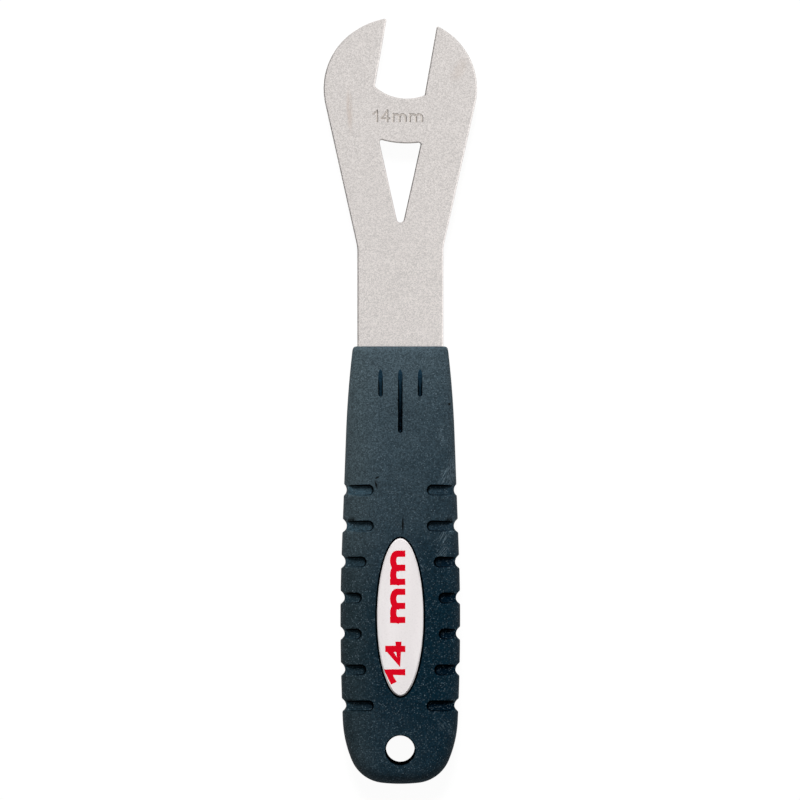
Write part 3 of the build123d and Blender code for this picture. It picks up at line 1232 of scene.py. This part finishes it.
@dataclass
class Blade:
    """The steel plate: head, shank and the tang inside the grip.

    Attributes:
        datum: where the wrench lies.
        top: the crown's distance from the heel.
        edge: the radius of the rims, smaller than every corner of the plan.
        jaw_to_crown: how far below the crown the point is that the jaw is tilted about.
        throat_depth: how far below that point the throat's curve reaches.
        window_wall: the width of the metal beside and above the window.
        key_holes: the places of the tang's holes, which the rubber fills.
        mark_slope: how much narrower the mark's strokes are at their bottom, on each side.
    """

    datum: Datum
    finish: BlastedSteel = BlastedSteel("blasted_steel", stains=BLADE_STAINS)
    mark_finish: BlastedSteel = BlastedSteel("stamped_steel", colour=(0.68, 0.63, 0.59), roughness=0.26)
    half_thickness: float = 0.001
    top: float = 0.21385
    half_shank: float = 0.012
    edge: float = 0.00042
    crown_radius: float = 0.0229
    crown_half_angle: float = 36.6
    cheek_radius: float = 0.01925
    flank_angle: float = 12.6
    shank_blend: float = 0.010
    jaw_gap: float = 0.0141
    jaw_tilt: float = 10.0
    jaw_to_crown: float = 0.01955
    throat_depth: float = 0.003
    throat_radius: float = 0.0135
    throat_corner: float = 0.0005
    tip_corner: float = 0.00045
    window_wall: float = 0.01245
    window_corner: float = 0.0006
    window_tip: float = 0.001
    tang_end: float = 0.023
    tang_corner: float = 0.006
    key_hole_radius: float = 0.004
    key_holes: tuple[float, ...] = (0.0398, 0.0678, 0.0958)
    mark: str = "14mm"
    mark_shift: float = -0.0007
    mark_from_heel: float = 0.1863
    mark_height: float = 0.00356
    mark_pen: float = 0.0006
    mark_spacing: float = 0.4
    mark_depth: float = 0.00015
    mark_slope: float = 0.00019

    def head(self) -> tuple[Walk, float]:
        """The head's right edge from the crown to the flank.

        Returns:
            The walk so far, and how far its flank goes on to the shank's side.
        """
        walk = Walk(Vector((0, self.top)), 0.0)
        walk.arc(self.crown_radius, -self.crown_half_angle)
        walk.arc(self.cheek_radius, self.crown_half_angle - 90 - self.flank_angle)
        return walk, (walk.place.x - self.half_shank) / math.sin(math.radians(self.flank_angle))

    def outline(self) -> Loop:
        """The plate's outline without its openings, measured from the heel."""
        walk, flank = self.head()
        walk.line(flank - self.shank_blend * math.tan(math.radians(self.flank_angle) / 2))
        walk.arc(self.shank_blend, self.flank_angle)
        walk.line(walk.place.y - self.tang_end - self.tang_corner)
        walk.arc(self.tang_corner, -90.0)
        right = [point for point, _ in walk.points]
        left = [Vector((-point.x, point.y)) for point in reversed(right[1:])]
        return Loop((*reversed(right), *reversed(left)))

    def plan(self) -> Loop:
        """The outline with the jaw cut into it: two flats and a curved throat between them."""
        half = self.jaw_gap / 2
        tilt_point = Vector((0, self.top - self.jaw_to_crown))
        upright = Matrix.Rotation(math.radians(self.jaw_tilt), 2)
        local = [upright @ (point - tilt_point) for point in self.outline().points]
        crossings = []
        for index, (point, after) in enumerate(zip(local, local[1:] + local[:1])):
            for side in (half, -half):
                if point.y > 0 and (point.x - side) * (after.x - side) < 0:
                    share = (side - point.x) / (after.x - point.x)
                    crossings.append((index, point + share * (after - point)))
        (right_index, right_tip), (left_index, left_tip) = crossings
        middle = self.throat_radius - self.throat_depth
        corner_y = middle - math.sqrt(self.throat_radius**2 - half**2)
        swing = math.asin(half / self.throat_radius)
        clear = 2 * self.tip_corner
        right = [point for point in local[: right_index + 1] if (point - right_tip).length > clear]
        left = [point for point in local[left_index + 1 :] if (point - left_tip).length > clear]
        corners = [(point, 0.0) for point in right]
        corners += [(right_tip, self.tip_corner), (Vector((half, corner_y)), self.throat_corner)]
        steps = 24
        for step in range(1, steps):
            turn = swing - 2 * swing * step / steps
            place = Vector((math.sin(turn), -math.cos(turn))) * self.throat_radius
            corners.append((place + Vector((0, middle)), 0.0))
        corners += [(Vector((-half, corner_y)), self.throat_corner), (left_tip, self.tip_corner)]
        corners += [(point, 0.0) for point in left]
        loop = Loop.rounded(corners).placed(tilt_point, -self.jaw_tilt)
        return loop.placed(Vector((0, self.datum.heel)))

    def window(self) -> Loop:
        """The tapered window, one wall's width from the flanks and the throat."""
        slope = math.radians(self.flank_angle)
        head, flank = self.head()
        foot = head.place.y - flank * math.cos(slope)
        tip = foot - self.half_shank / math.tan(slope) + self.window_wall / math.sin(slope)
        tilt = math.radians(self.jaw_tilt)
        rise = self.throat_radius - self.throat_depth
        middle = Vector((rise * math.sin(tilt), self.top - self.jaw_to_crown + rise * math.cos(tilt)))
        radius = self.throat_radius + self.window_wall
        ends = []
        for side in (1, -1):
            away = Vector((0, tip)) - middle
            along = Vector((side * math.sin(slope), math.cos(slope)))
            toward = -away.dot(along)
            length = toward - math.sqrt(toward**2 - away.dot(away) + radius**2)
            ends.append(Vector((0, tip)) + along * length)
        first, last = ((end - middle) for end in ends)
        start, stop = (math.atan2(end.y, end.x) for end in (first, last))
        corners = [(Vector((0, tip)), self.window_tip), (ends[0], self.window_corner)]
        count = 8
        for step in range(1, count):
            turn = start + (stop - start) * step / count
            corners.append((middle + radius * Vector((math.cos(turn), math.sin(turn))), 0.0))
        corners.append((ends[1], self.window_corner))
        return Loop.rounded(corners).placed(Vector((0, self.datum.heel)))

    def build(self) -> bpy.types.Object:
        """Makes the plate and dresses it.

        Returns:
            The finished plate.
        """
        low, high = self.datum.middle - self.half_thickness, self.datum.middle + self.half_thickness
        plate = self.plan().stack(plate_rings(low, high, self.edge)).to_object("blade_plate")
        rings = through_rings(low, high, self.edge)
        cutters = self.window().stack(rings)
        for from_heel in self.key_holes:
            hole = Loop.ellipse(self.datum.at(0, from_heel), self.key_hole_radius, self.key_hole_radius, 48)
            cutters = cutters + hole.stack(rings)
        carve(plate, cutters.to_object("openings"))
        plate.data.materials.append(self.finish.material())
        place = self.datum.at(self.mark_shift, self.mark_from_heel)
        mark = Lettering(self.mark, self.mark_height, place, self.mark_pen, spacing=self.mark_spacing)
        rings = [(-self.mark_slope, high - self.mark_depth), (0.0, high), (0.0, high + CUT_MARGIN)]
        carve(plate, mark.to_object("size_mark", rings), finish=self.mark_finish.material())
        tidy_surface(plate)
        dress(plate, ["blade"])
        return plate


@dataclass
class Grip:
    """The rubber moulding round the tang.

    Attributes:
        datum: where the wrench lies.
        hips: the arcs from the heel up to the palm, each as its radius and its turn in degrees.
        bulge: the long arc of the palm, the same way.
        slope_lengths: for each face, the length over which it thins towards the collar.
        slope_ease: the power by which it thins, 1 for a straight slope.
        collar_fall: how far the faces round down over collar_fall_length, at the collar's end.
        end_rounding: how far the side draws in there.
    """

    datum: Datum
    # The rubber, with painted light towards the collar and on its left side.
    finish: MouldedRubber = MouldedRubber("worn_rubber_painted_light", scuffs_and_sheen=GRIP_SCUFFS_AND_SHEEN, nicks=GRIP_NICKS)
    # A darker, bluer copy of the rubber for the pockets, with painted shade on their walls.
    pocket_shade_finish: MouldedRubber = MouldedRubber(
        "pocket_rubber_painted_shade",
        deep=(0.0006, 0.007, 0.015),
        pale=(0.05, 0.09, 0.12),
        left_sheen=(0.03, 0.055, 0.05),
        lean=0.28,
        walls=0.15,
        gloss=0.0,
    )
    # A nearly black copy of the rubber: painted shade in the slots, the badge's seat and the hang hole,
    # darker where the slots are deeper.
    slot_shade_finish: MouldedRubber = MouldedRubber(
        "slot_rubber_painted_shade",
        deep=(0.0, 0.001, 0.002),
        pale=(0.01, 0.03, 0.05),
        grit=(0.02, 0.05, 0.08),
        painted_light=((-0.009, 0.0), (0.001, 0.35), (0.0085, 0.95)),
        walls=0.0,
        gloss=0.0,
    )
    length: float = 0.122
    half_palm: float = 0.0167
    hips: tuple[Pair, ...] = ((0.01035, 60.6), (0.0322, 20.5), (0.627, 2.6))
    bulge: Pair = (0.5, 2.1)
    collar_curve_length: float = 0.0246
    collar_side_radius: float = 0.3
    half_thickness: float = 0.005
    roll: float = 0.0044
    roll_steps: int = 12
    collar_half_thickness: float = 0.00245
    slope_lengths: tuple[tuple[Face, float], ...] = ((Face.FRONT, 0.038), (Face.BACK, 0.016))
    slope_ease: float = 1.6
    collar_fall_length: float = 0.0022
    collar_fall: float = 0.0009
    end_rounding: float = 0.001
    groove_count: int = 7
    groove_pitch: float = 0.010
    first_groove: float = 0.022
    notch_radius: float = 0.0021
    notch_depth: float = 0.0012
    last_notch_depth: float = 0.0008
    notch_lip: float = 0.0005
    notch_lip_rise: float = 0.00002
    pocket_radius: float = 0.0012
    pocket_depth: float = 0.0013
    pocket_draft: float = 15.0
    pocket_corner: float = 0.0002
    pocket_lip: float = 0.00018
    pocket_reach: float = 0.0112
    pocket_least_reach: float = 0.0077
    pocket_arc: float = 0.078
    slot_spacing: float = 0.0055
    slot_radius: float = 0.00065
    slot_depth: float = 0.0014
    slot_tip_from_collar: float = 0.0064
    slot_run_out: float = 0.0052
    slot_lengths: tuple[float, float, float] = (0.014, 0.0241, 0.014)
    seat_depth: float = 0.0008
    seat_draft: float = 2.0
    seat_lip: float = 0.0001
    hang_hole_radius: float = 0.004
    hang_hole_from_heel: float = 0.00975
    hang_hole_rim: float = 0.0004

    def edge_walk(self) -> list[tuple[Vector, float]]:
        """The +X edge from the heel to the collar, with the heading at each point."""
        heel_x, turned = self.half_palm, 0.0
        for radius, turn in reversed(self.hips):
            first, turned = turned, turned + turn
            heel_x -= radius * (math.cos(math.radians(first)) - math.cos(math.radians(turned)))
        to_level = 90 - turned
        walk = Walk(Vector((0, 0)), 0.0)
        walk.arc(heel_x / math.sin(math.radians(to_level)), to_level)
        for radius, turn in self.hips:
            walk.arc(radius, turn)
        walk.arc(*self.bulge)
        walk.climb(self.length - self.collar_curve_length)
        walk.climb(self.length - self.collar_fall_length, self.collar_side_radius)
        fall_steps = 8
        for step in range(1, fall_steps + 1):
            left = 1 - math.sin(math.pi / 2 * step / fall_steps)
            walk.climb(self.length - self.collar_fall_length * left, self.collar_side_radius)
        return walk.points

    def half_width(self, from_heel: float) -> float:
        """Half of the grip's width at a distance from the heel."""
        steep = 45  # degrees, below which the edge is the heel's
        points = [point for point, heading in self.edge_walk() if heading > steep]
        for low, high in zip(points, points[1:]):
            if low.y <= from_heel <= high.y:
                return low.x + (high.x - low.x) * (from_heel - low.y) / (high.y - low.y)
        raise ValueError(f"the grip's side doesn't pass {from_heel}")

    def fall_at(self, from_heel: float) -> float:
        """How far the surface rounds down to the collar's end, from 0 to 1."""
        past = max(0.0, from_heel - self.length + self.collar_fall_length) / self.collar_fall_length
        return 1 - math.sqrt(max(0.0, 1 - past**2))

    def height(self, from_heel: float, slope_length: float) -> float:
        """Half thickness of one face at a distance from the heel."""
        past = max(0.0, from_heel - self.length + slope_length) / slope_length
        thinned = (self.half_thickness - self.collar_half_thickness) * past**self.slope_ease
        return self.half_thickness - thinned - self.collar_fall * self.fall_at(from_heel)

    def column(self, point: Vector, heading: float) -> list[Vector]:
        """The side of the cross-section at one point of the edge, from the back to the front.

        Args:
            point: the point on the +X edge, measured from the heel.
            heading: the edge's direction there, in degrees.

        Returns:
            Places in the frame, all on the +X side.
        """
        turn = math.radians(min(heading, 90.0))
        outward = Vector((math.sin(turn), -math.cos(turn)))
        flat = self.half_thickness - self.roll
        inset = self.end_rounding * self.fall_at(point.y) ** 2
        places = []
        for face, slope_length in reversed(self.slope_lengths):
            rise = self.height(point.y, slope_length) - flat
            steps = range(self.roll_steps + 1)
            for step in steps if face is Face.FRONT else reversed(steps):
                angle = math.pi / 2 * step / self.roll_steps
                plan = point - outward * (self.roll * (1 - math.cos(angle)) + inset)
                height = face.value * (flat + rise * math.sin(angle)) + self.datum.middle
                places.append(Vector((max(plan.x, 0.0), plan.y + self.datum.heel, height)))
        return places

    def body(self) -> Solid:
        """The grip without its hollows."""
        columns = [self.column(point, heading) for point, heading in self.edge_walk()]
        tall = len(columns[0])
        vertices = [place for column in columns for place in column]
        left_start = len(vertices)
        vertices += [Vector((-place.x, place.y, place.z)) for column in columns[1:] for place in column]

        def index(side: int, station: int, level: int) -> int:
            """The number of a vertex; both sides share the heel's first column."""
            if side > 0 or station == 0:
                return station * tall + level
            return left_start + (station - 1) * tall + level

        faces = []
        for station in range(len(columns) - 1):
            for level in range(tall - 1):
                right = [(station, level), (station + 1, level)]
                right += [(station + 1, level + 1), (station, level + 1)]
                faces.append(tuple(index(1, *corner) for corner in right))
                faces.append(tuple(index(-1, *corner) for corner in reversed(right)))
            for level, order in ((tall - 1, 1), (0, -1)):
                across = [index(-1, station, level), index(1, station, level)]
                across += [index(1, station + 1, level), index(-1, station + 1, level)]
                faces.append(tuple(dict.fromkeys(across[::order])))
        last = len(columns) - 1
        rim = [index(1, last, level) for level in range(tall)]
        faces.append(tuple(rim + [index(-1, last, level) for level in reversed(range(tall))]))
        return Solid(vertices, faces)

    def groove_places(self) -> list[float]:
        """The distance of each groove from the heel."""
        return [self.first_groove + self.groove_pitch * step for step in range(self.groove_count)]

    def notch(self, place: float, depth: float) -> Loop:
        """One notch in the +X edge: a round hollow whose lips roll onto the edge.

        Args:
            place: its distance from the heel.
            depth: its depth.

        Returns:
            The notch's outline in the frame.
        """
        to_lip = self.notch_radius + self.notch_lip
        turn = math.acos(1 - depth / to_lip)
        reach = to_lip * math.sin(turn)
        walk = Walk(Vector((0, -reach)), 90.0, chord=0.0002)
        walk.arc(self.notch_lip, math.degrees(turn))
        walk.arc(self.notch_radius, -2 * math.degrees(turn))
        walk.arc(self.notch_lip, math.degrees(turn))
        points = [point for point, _ in reversed(walk.points)]
        outside = (Vector((CUT_MARGIN, -reach)), Vector((CUT_MARGIN, reach)))
        side = self.half_width(place + reach) - self.half_width(place - reach)
        lean = math.degrees(math.atan2(side, 2 * reach))
        return Loop((*points, *outside)).placed(
            self.datum.at(self.half_width(place) + self.notch_lip_rise, place), -lean
        )

    def notches(self) -> Solid:
        """Cutters for the notches in both edges."""
        made = Solid()
        reach = 2 * self.half_thickness
        rings = [(0.0, self.datum.middle - reach), (0.0, self.datum.middle + reach)]
        for place in self.groove_places():
            depth = self.last_notch_depth if place == self.groove_places()[-1] else self.notch_depth
            cutter = self.notch(place, depth).stack(rings)
            made = made + cutter + cutter.mirrored(Axis.X)
        return made

    def pockets(self, badge_from_heel: float) -> Solid:
        """Cutters for the shallow pockets on both faces.

        Args:
            badge_from_heel: the middle of the badge, which the pockets' inner ends curve round.

        Returns:
            All pockets.
        """
        made = Solid()
        top = self.datum.middle + self.half_thickness
        floor = top - self.pocket_depth
        rings = recess_rings(floor, top, self.pocket_draft, self.pocket_corner, self.pocket_lip)
        for place in self.groove_places():
            reach = self.pocket_reach - (place - badge_from_heel) ** 2 / (2 * self.pocket_arc)
            inner = max(self.pocket_least_reach, reach) + self.pocket_radius
            line = [self.datum.at(x, place) for x in (inner, self.half_palm + CUT_MARGIN)]
            right = Loop.stroke(line, self.pocket_radius).stack(rings)
            right = right + right.mirrored(Axis.Z, self.datum.middle)
            made = made + right + right.mirrored(Axis.X)
        return made

    def slot(self, x: float, from_collar: float) -> Solid:
        """Cutter for one slot: a round-bottomed groove that rises out of the grip near the collar.

        Args:
            x: where it lies across the grip.
            from_collar: the distance from the collar to its heel end.

        Returns:
            The closed form, reaching up past the grip.
        """
        front = dict(self.slope_lengths)[Face.FRONT]
        heel_end, bend, tip = (
            (self.length - back, self.height(self.length - back, front) - depth)
            for back, depth in (
                (from_collar, self.slot_depth),
                (self.slot_tip_from_collar + self.slot_run_out, self.slot_depth),
                (self.slot_tip_from_collar, 0.0),
            )
        )
        stations = []
        ball_steps, sides = 6, 12
        for step in range(1, ball_steps + 1):
            turn = math.pi / 2 * step / ball_steps
            along = heel_end[0] + self.slot_radius * (1 - math.cos(turn))
            stations.append((along, self.slot_radius * math.sin(turn)))
        stations += [(bend[0], self.slot_radius), (2 * tip[0] - bend[0], self.slot_radius)]
        top = self.datum.middle + self.half_thickness + CUT_MARGIN
        vertices = []
        for along, half in stations:
            before, after = (heel_end, bend) if along <= bend[0] else (bend, tip)
            share = (along - before[0]) / (after[0] - before[0])
            floor = before[1] + share * (after[1] - before[1]) + self.datum.middle
            for side in range(sides + 1):
                turn = math.pi * side / sides
                height = floor + self.slot_radius - half * math.sin(turn)
                vertices.append(Vector((x - half * math.cos(turn), self.datum.heel + along, height)))
            vertices += [Vector((x + side * half, self.datum.heel + along, top)) for side in (1, -1)]
        count = sides + 3
        faces = [tuple(range(count)), tuple(reversed(range(len(vertices) - count, len(vertices))))]
        for level in range(len(stations) - 1):
            low, high = level * count, (level + 1) * count
            for index in range(count):
                after_index = (index + 1) % count
                faces.append((low + index, high + index, high + after_index, low + after_index))
        return Solid(vertices, faces)

    def slots(self) -> Solid:
        """Cutters for the three slots behind the collar."""
        made = Solid()
        for place, from_collar in enumerate(self.slot_lengths, -1):
            made = made + self.slot(place * self.slot_spacing, from_collar)
        return made

    def seat(self, badge: "Badge") -> Solid:
        """Cutter for the badge's seat."""
        top = self.datum.middle + self.half_thickness
        rings = recess_rings(top - self.seat_depth, top, self.seat_draft, 0.0, self.seat_lip)
        return badge.outline(badge.gap).stack(rings)

    def hang_hole(self) -> Solid:
        """Cutter for the hang hole, with its rounded rims."""
        low, high = self.datum.middle - self.half_thickness, self.datum.middle + self.half_thickness
        middle = self.datum.at(0, self.hang_hole_from_heel)
        circle = Loop.ellipse(middle, self.hang_hole_radius, self.hang_hole_radius)
        return circle.stack(through_rings(low, high, self.hang_hole_rim))

    def build(self, blade: bpy.types.Object, badge: "Badge") -> None:
        """Makes the moulding and dresses it.

        Args:
            blade: the finished blade, whose tang the rubber is moulded round.
            badge: the badge that lies in its seat.
        """
        moulding = self.body().to_object("grip_moulding")
        moulding.data.materials.append(self.finish.material())
        carve(moulding, self.notches().to_object("notches"))
        tang = bpy.data.objects.new("tang", blade.data.copy())
        bpy.context.scene.collection.objects.link(tang)
        carve(moulding, tang)
        # The slots, the badge's seat and the hang hole take the nearly black rubber, which is painted shade.
        hollows = self.slots() + self.seat(badge) + self.hang_hole()
        carve(moulding, hollows.to_object("hollows"), finish=self.slot_shade_finish.material())
        # The pockets take the darker rubber, with painted shade on their walls.
        pockets = self.pockets(badge.from_heel).to_object("pockets")
        carve(moulding, pockets, finish=self.pocket_shade_finish.material())
        tidy_surface(moulding)
        dress(moulding, ["grip"])


@dataclass
class Badge:
    """The oval domed badge with its printed size.

    Attributes:
        datum: where the wrench lies.
        seat_height: how far its seat is above the middle of the plate.
        crown_radius: how its face curves across the badge.
        gap: the gap round it in its seat.
        print_rise: how far the print stands above the dome.
    """

    datum: Datum
    finish: DomedResin = DomedResin()
    ink: PrintInk = PrintInk()
    half_width: float = 0.00646
    half_length: float = 0.02193
    from_heel: float = 0.04668
    seat_height: float = 0.0042
    thickness: float = 0.0014
    crown_radius: float = 0.060
    edge: float = 0.0004
    gap: float = 0.00042
    outline_steps: int = 128
    edge_steps: int = 5
    face_rings: int = 10
    words: str = "14 mm"
    words_shift: float = -0.0014
    words_height: float = 0.0056
    words_pen: float = 0.00175
    words_widen: float = 1.75
    words_spacing: float = 0.72
    words_turn: float = 90.0
    print_rise: float = 0.00001

    def outline(self, grow: float = 0.0) -> Loop:
        """The oval, grown by a distance in both directions."""
        middle = self.datum.at(0, self.from_heel)
        return Loop.ellipse(middle, self.half_width + grow, self.half_length + grow, self.outline_steps)

    def dome(self, sink: float = 0.0) -> Solid:
        """The badge's body: an upright rim, a rounded edge and a crowned face.

        Args:
            sink: how much lower than the printed face it is made.

        Returns:
            The closed form.
        """
        seat = self.datum.middle + self.seat_height
        top = seat + self.thickness - sink
        drop = self.half_width**2 / (2 * self.crown_radius)
        edge = quarter(self.edge, self.edge_steps)
        rings = [(0.0, seat)] + [(-run, top - drop - self.edge + lift) for run, lift in edge]
        form = self.outline().stack(rings)
        form.faces.pop()
        count = self.outline_steps
        rim = form.vertices[-count:]
        middle = self.datum.heel + self.from_heel
        for vertex in rim:
            vertex.z = top - vertex.x**2 / (2 * self.crown_radius)
        for ring in range(1, self.face_rings):
            share = 1 - ring / self.face_rings
            for vertex in rim:
                x = vertex.x * share
                y = middle + (vertex.y - middle) * share
                form.vertices.append(Vector((x, y, top - x**2 / (2 * self.crown_radius))))
            low = len(form.vertices) - 2 * count
            for index in range(count):
                after = (index + 1) % count
                form.faces.append((low + index, low + after, low + count + after, low + count + index))
        form.vertices.append(Vector((0, middle, top)))
        tip = len(form.vertices) - 1
        first = tip - count
        form.faces += [(first + index, first + (index + 1) % count, tip) for index in range(count)]
        return form

    def build(self) -> None:
        """Makes the badge and its print, and dresses both."""
        dome = self.dome(self.print_rise).to_object("badge_dome")
        tidy_surface(dome)
        dome.data.materials.append(self.finish.material())
        dress(dome, ["badge"])
        words = Lettering(
            self.words,
            self.words_height,
            self.datum.at(self.words_shift, self.from_heel),
            self.words_pen,
            self.words_widen,
            self.words_spacing,
            self.words_turn,
        )
        top = self.datum.middle + self.seat_height + self.thickness
        rings = [(0.0, top - self.thickness / 2), (0.0, top + CUT_MARGIN)]
        printed = self.dome().to_object("badge_print")
        carve(printed, words.to_object("letters", rings), Cut.INSIDE)
        tidy_surface(printed)
        printed.data.materials.append(self.ink.material())
        dress(printed, [])


# The studio


@dataclass(frozen=True)
class Lamp:
    """A square area lamp that faces the wrench.

    Attributes:
        name: the lamp's name.
        azimuth: the side that it stands on, in degrees anticlockwise from +X.
        elevation: its height above the horizon, in degrees.
        size: the length of its sides.
        level: the brightness that it alone gives a white surface facing up.
    """

    name: str
    azimuth: float
    elevation: float
    size: float
    level: float

    def build(self, distance: float) -> None:
        """Hangs the lamp.

        Args:
            distance: how far it stands from the wrench.
        """
        light = bpy.data.lights.new(self.name, "AREA")
        light.shape = "SQUARE"
        light.size = self.size
        up = math.sin(math.radians(self.elevation))
        light.energy = self.level * math.pi**2 * distance**2 / up  # up: it strikes level surfaces aslant
        lamp = bpy.data.objects.new(self.name, light)
        lamp.visible_glossy = False
        bpy.context.scene.collection.objects.link(lamp)
        side = math.cos(math.radians(self.elevation))
        turn = math.radians(self.azimuth)
        away = Vector((side * math.cos(turn), side * math.sin(turn), up))
        lamp.location = away * distance
        lamp.rotation_euler = away.to_track_quat("Z", "Y").to_euler()


@dataclass(frozen=True)
class Studio:
    """White floor, light surroundings and soft lamps.

    Attributes:
        ambient: brightness of the surroundings on matt surfaces.
        mirrored: brightness of what is overhead in mirroring surfaces.
        mirrored_sides: how much brighter, or darker, the panels at +X, -X, +Y and -Y are.
        panel_rise: how far towards its side a panel begins, and where it is full.
        panel_width: the squares of how far across a panel ends, and where it is still full.
        mirrored_horizon: brightness at the horizon, as a share of what the same side has higher up.
        horizon_rise: how far up, from 0 to 1, that dimming is full, and how far up it ends.
        floor_colour: the brightness of the floor in mirrors and in bounced light.
        floor_glow: the share of the floor's brightness that shadows don't take away.
        floor_level: brightness of that share.
        floor_size: the length of the floor's sides.
        distance: how far the lamps stand from the wrench.
        lamps: the lamps.
    """

    ambient: float = 0.2
    mirrored: float = 0.85
    mirrored_sides: tuple[float, float, float, float] = (0.8, -0.8, 0.3, -0.3)
    panel_rise: Pair = (0.15, 0.7)
    panel_width: Pair = (0.36, 0.12)
    mirrored_horizon: float = 0.68
    horizon_rise: Pair = (0.3, 0.7)
    floor_colour: float = 0.8
    floor_glow: float = 0.91
    floor_level: float = 1.05
    floor_size: float = 4.0
    distance: float = 1.4
    lamps: tuple[Lamp, ...] = (Lamp("key", 93.0, 43.0, 0.5, 0.8),)

    def seen(self, web: Web) -> Term:
        """1 where the camera looks."""
        return web.term("ShaderNodeLightPath", output="Is Camera Ray")

    def surroundings(self) -> None:
        """Sets the world's light."""
        world = bpy.data.worlds.new("studio")
        bpy.context.scene.world = world
        world.use_nodes = True
        web = Web(world.node_tree)
        direction = web.term("ShaderNodeTexCoord", output="Generated")
        mirrored: Term | float = self.mirrored
        for place, more in enumerate(self.mirrored_sides):
            side = 1 if place % 2 == 0 else -1
            along = web.along(Axis(place // 2), direction)
            across = web.along(Axis(1 - place // 2), direction)
            begin, full = (side * reach for reach in self.panel_rise)
            panel = web.between(along, begin, full) * web.between(across * across, *self.panel_width)
            mirrored = mirrored + panel * more
        upward = web.along(Axis.Z, direction)
        mirrored = mirrored * web.between(upward, *self.horizon_rise, self.mirrored_horizon, 1.0)
        glossy = web.term("ShaderNodeLightPath", output="Is Glossy Ray")
        strength = self.ambient + glossy * (mirrored - self.ambient)
        strength = strength + self.seen(web) * (1.0 - self.ambient)
        light = web.add("ShaderNodeBackground", {}, {"Color": (1.0, 1.0, 1.0), "Strength": strength})
        web.add("ShaderNodeOutputWorld", {}, {"Surface": light.outputs[0]})

    def floor(self) -> None:
        """Lays the white floor."""
        half = self.floor_size / 2
        plan = ((-half, -half), (half, -half), (half, half), (-half, half))
        floor = Solid([Vector((x, y, 0.0)) for x, y in plan], [(0, 1, 2, 3)]).to_object("floor")
        material, web = new_material("floor_white")
        matt = web.add("ShaderNodeBsdfDiffuse", {}, {"Color": (self.floor_colour,) * 3})
        glow = web.add("ShaderNodeEmission", {}, {"Color": (1.0, 1.0, 1.0), "Strength": self.floor_level})
        mixed = web.add(
            "ShaderNodeMixShader",
            {},
            {0: self.seen(web) * self.floor_glow, 1: matt.outputs[0], 2: glow.outputs[0]},
        )
        web.close(mixed)
        floor.data.materials.append(material)

    def build(self) -> None:
        """Sets up the whole studio."""
        self.surroundings()
        self.floor()
        for lamp in self.lamps:
            lamp.build(self.distance)
        bpy.context.scene.view_settings.view_transform = "Standard"


@dataclass(frozen=True)
class Viewpoint:
    """The camera, straight above the wrench.

    Attributes:
        metres_per_pixel: the photograph's scale at the height of the plate.
        centre: the place in the plan that the image's middle shows.
        height: the camera's distance from the plate.
        farthest: how far the camera sees.
    """

    metres_per_pixel: float = 0.0002791
    centre: Pair = (-0.00008, 0.00033)
    height: float = 1.2
    farthest: float = 10.0

    def build(self, datum: Datum) -> None:
        """Sets up the camera.

        Args:
            datum: where the wrench lies.
        """
        camera = bpy.data.cameras.new("camera")
        camera.lens = camera.sensor_width * self.height / (IMAGE_PIXELS * self.metres_per_pixel)
        camera.clip_end = self.farthest
        view = bpy.data.objects.new("camera", camera)
        bpy.context.scene.collection.objects.link(view)
        view.location = (*self.centre, datum.middle + self.height)
        bpy.context.scene.camera = view


def main() -> None:
    """Builds the wrench piece by piece, then its studio and camera."""
    logging.basicConfig(level=logging.INFO, format="%(name)s: %(message)s")
    datum = Datum.from_frame()
    blade = Blade(datum)
    badge = Badge(datum)
    grip = Grip(datum)
    badge.build()
    grip.build(blade.build(), badge)
    Studio().build()
    Viewpoint().build(datum)


if __name__ == "__main__":
    main()
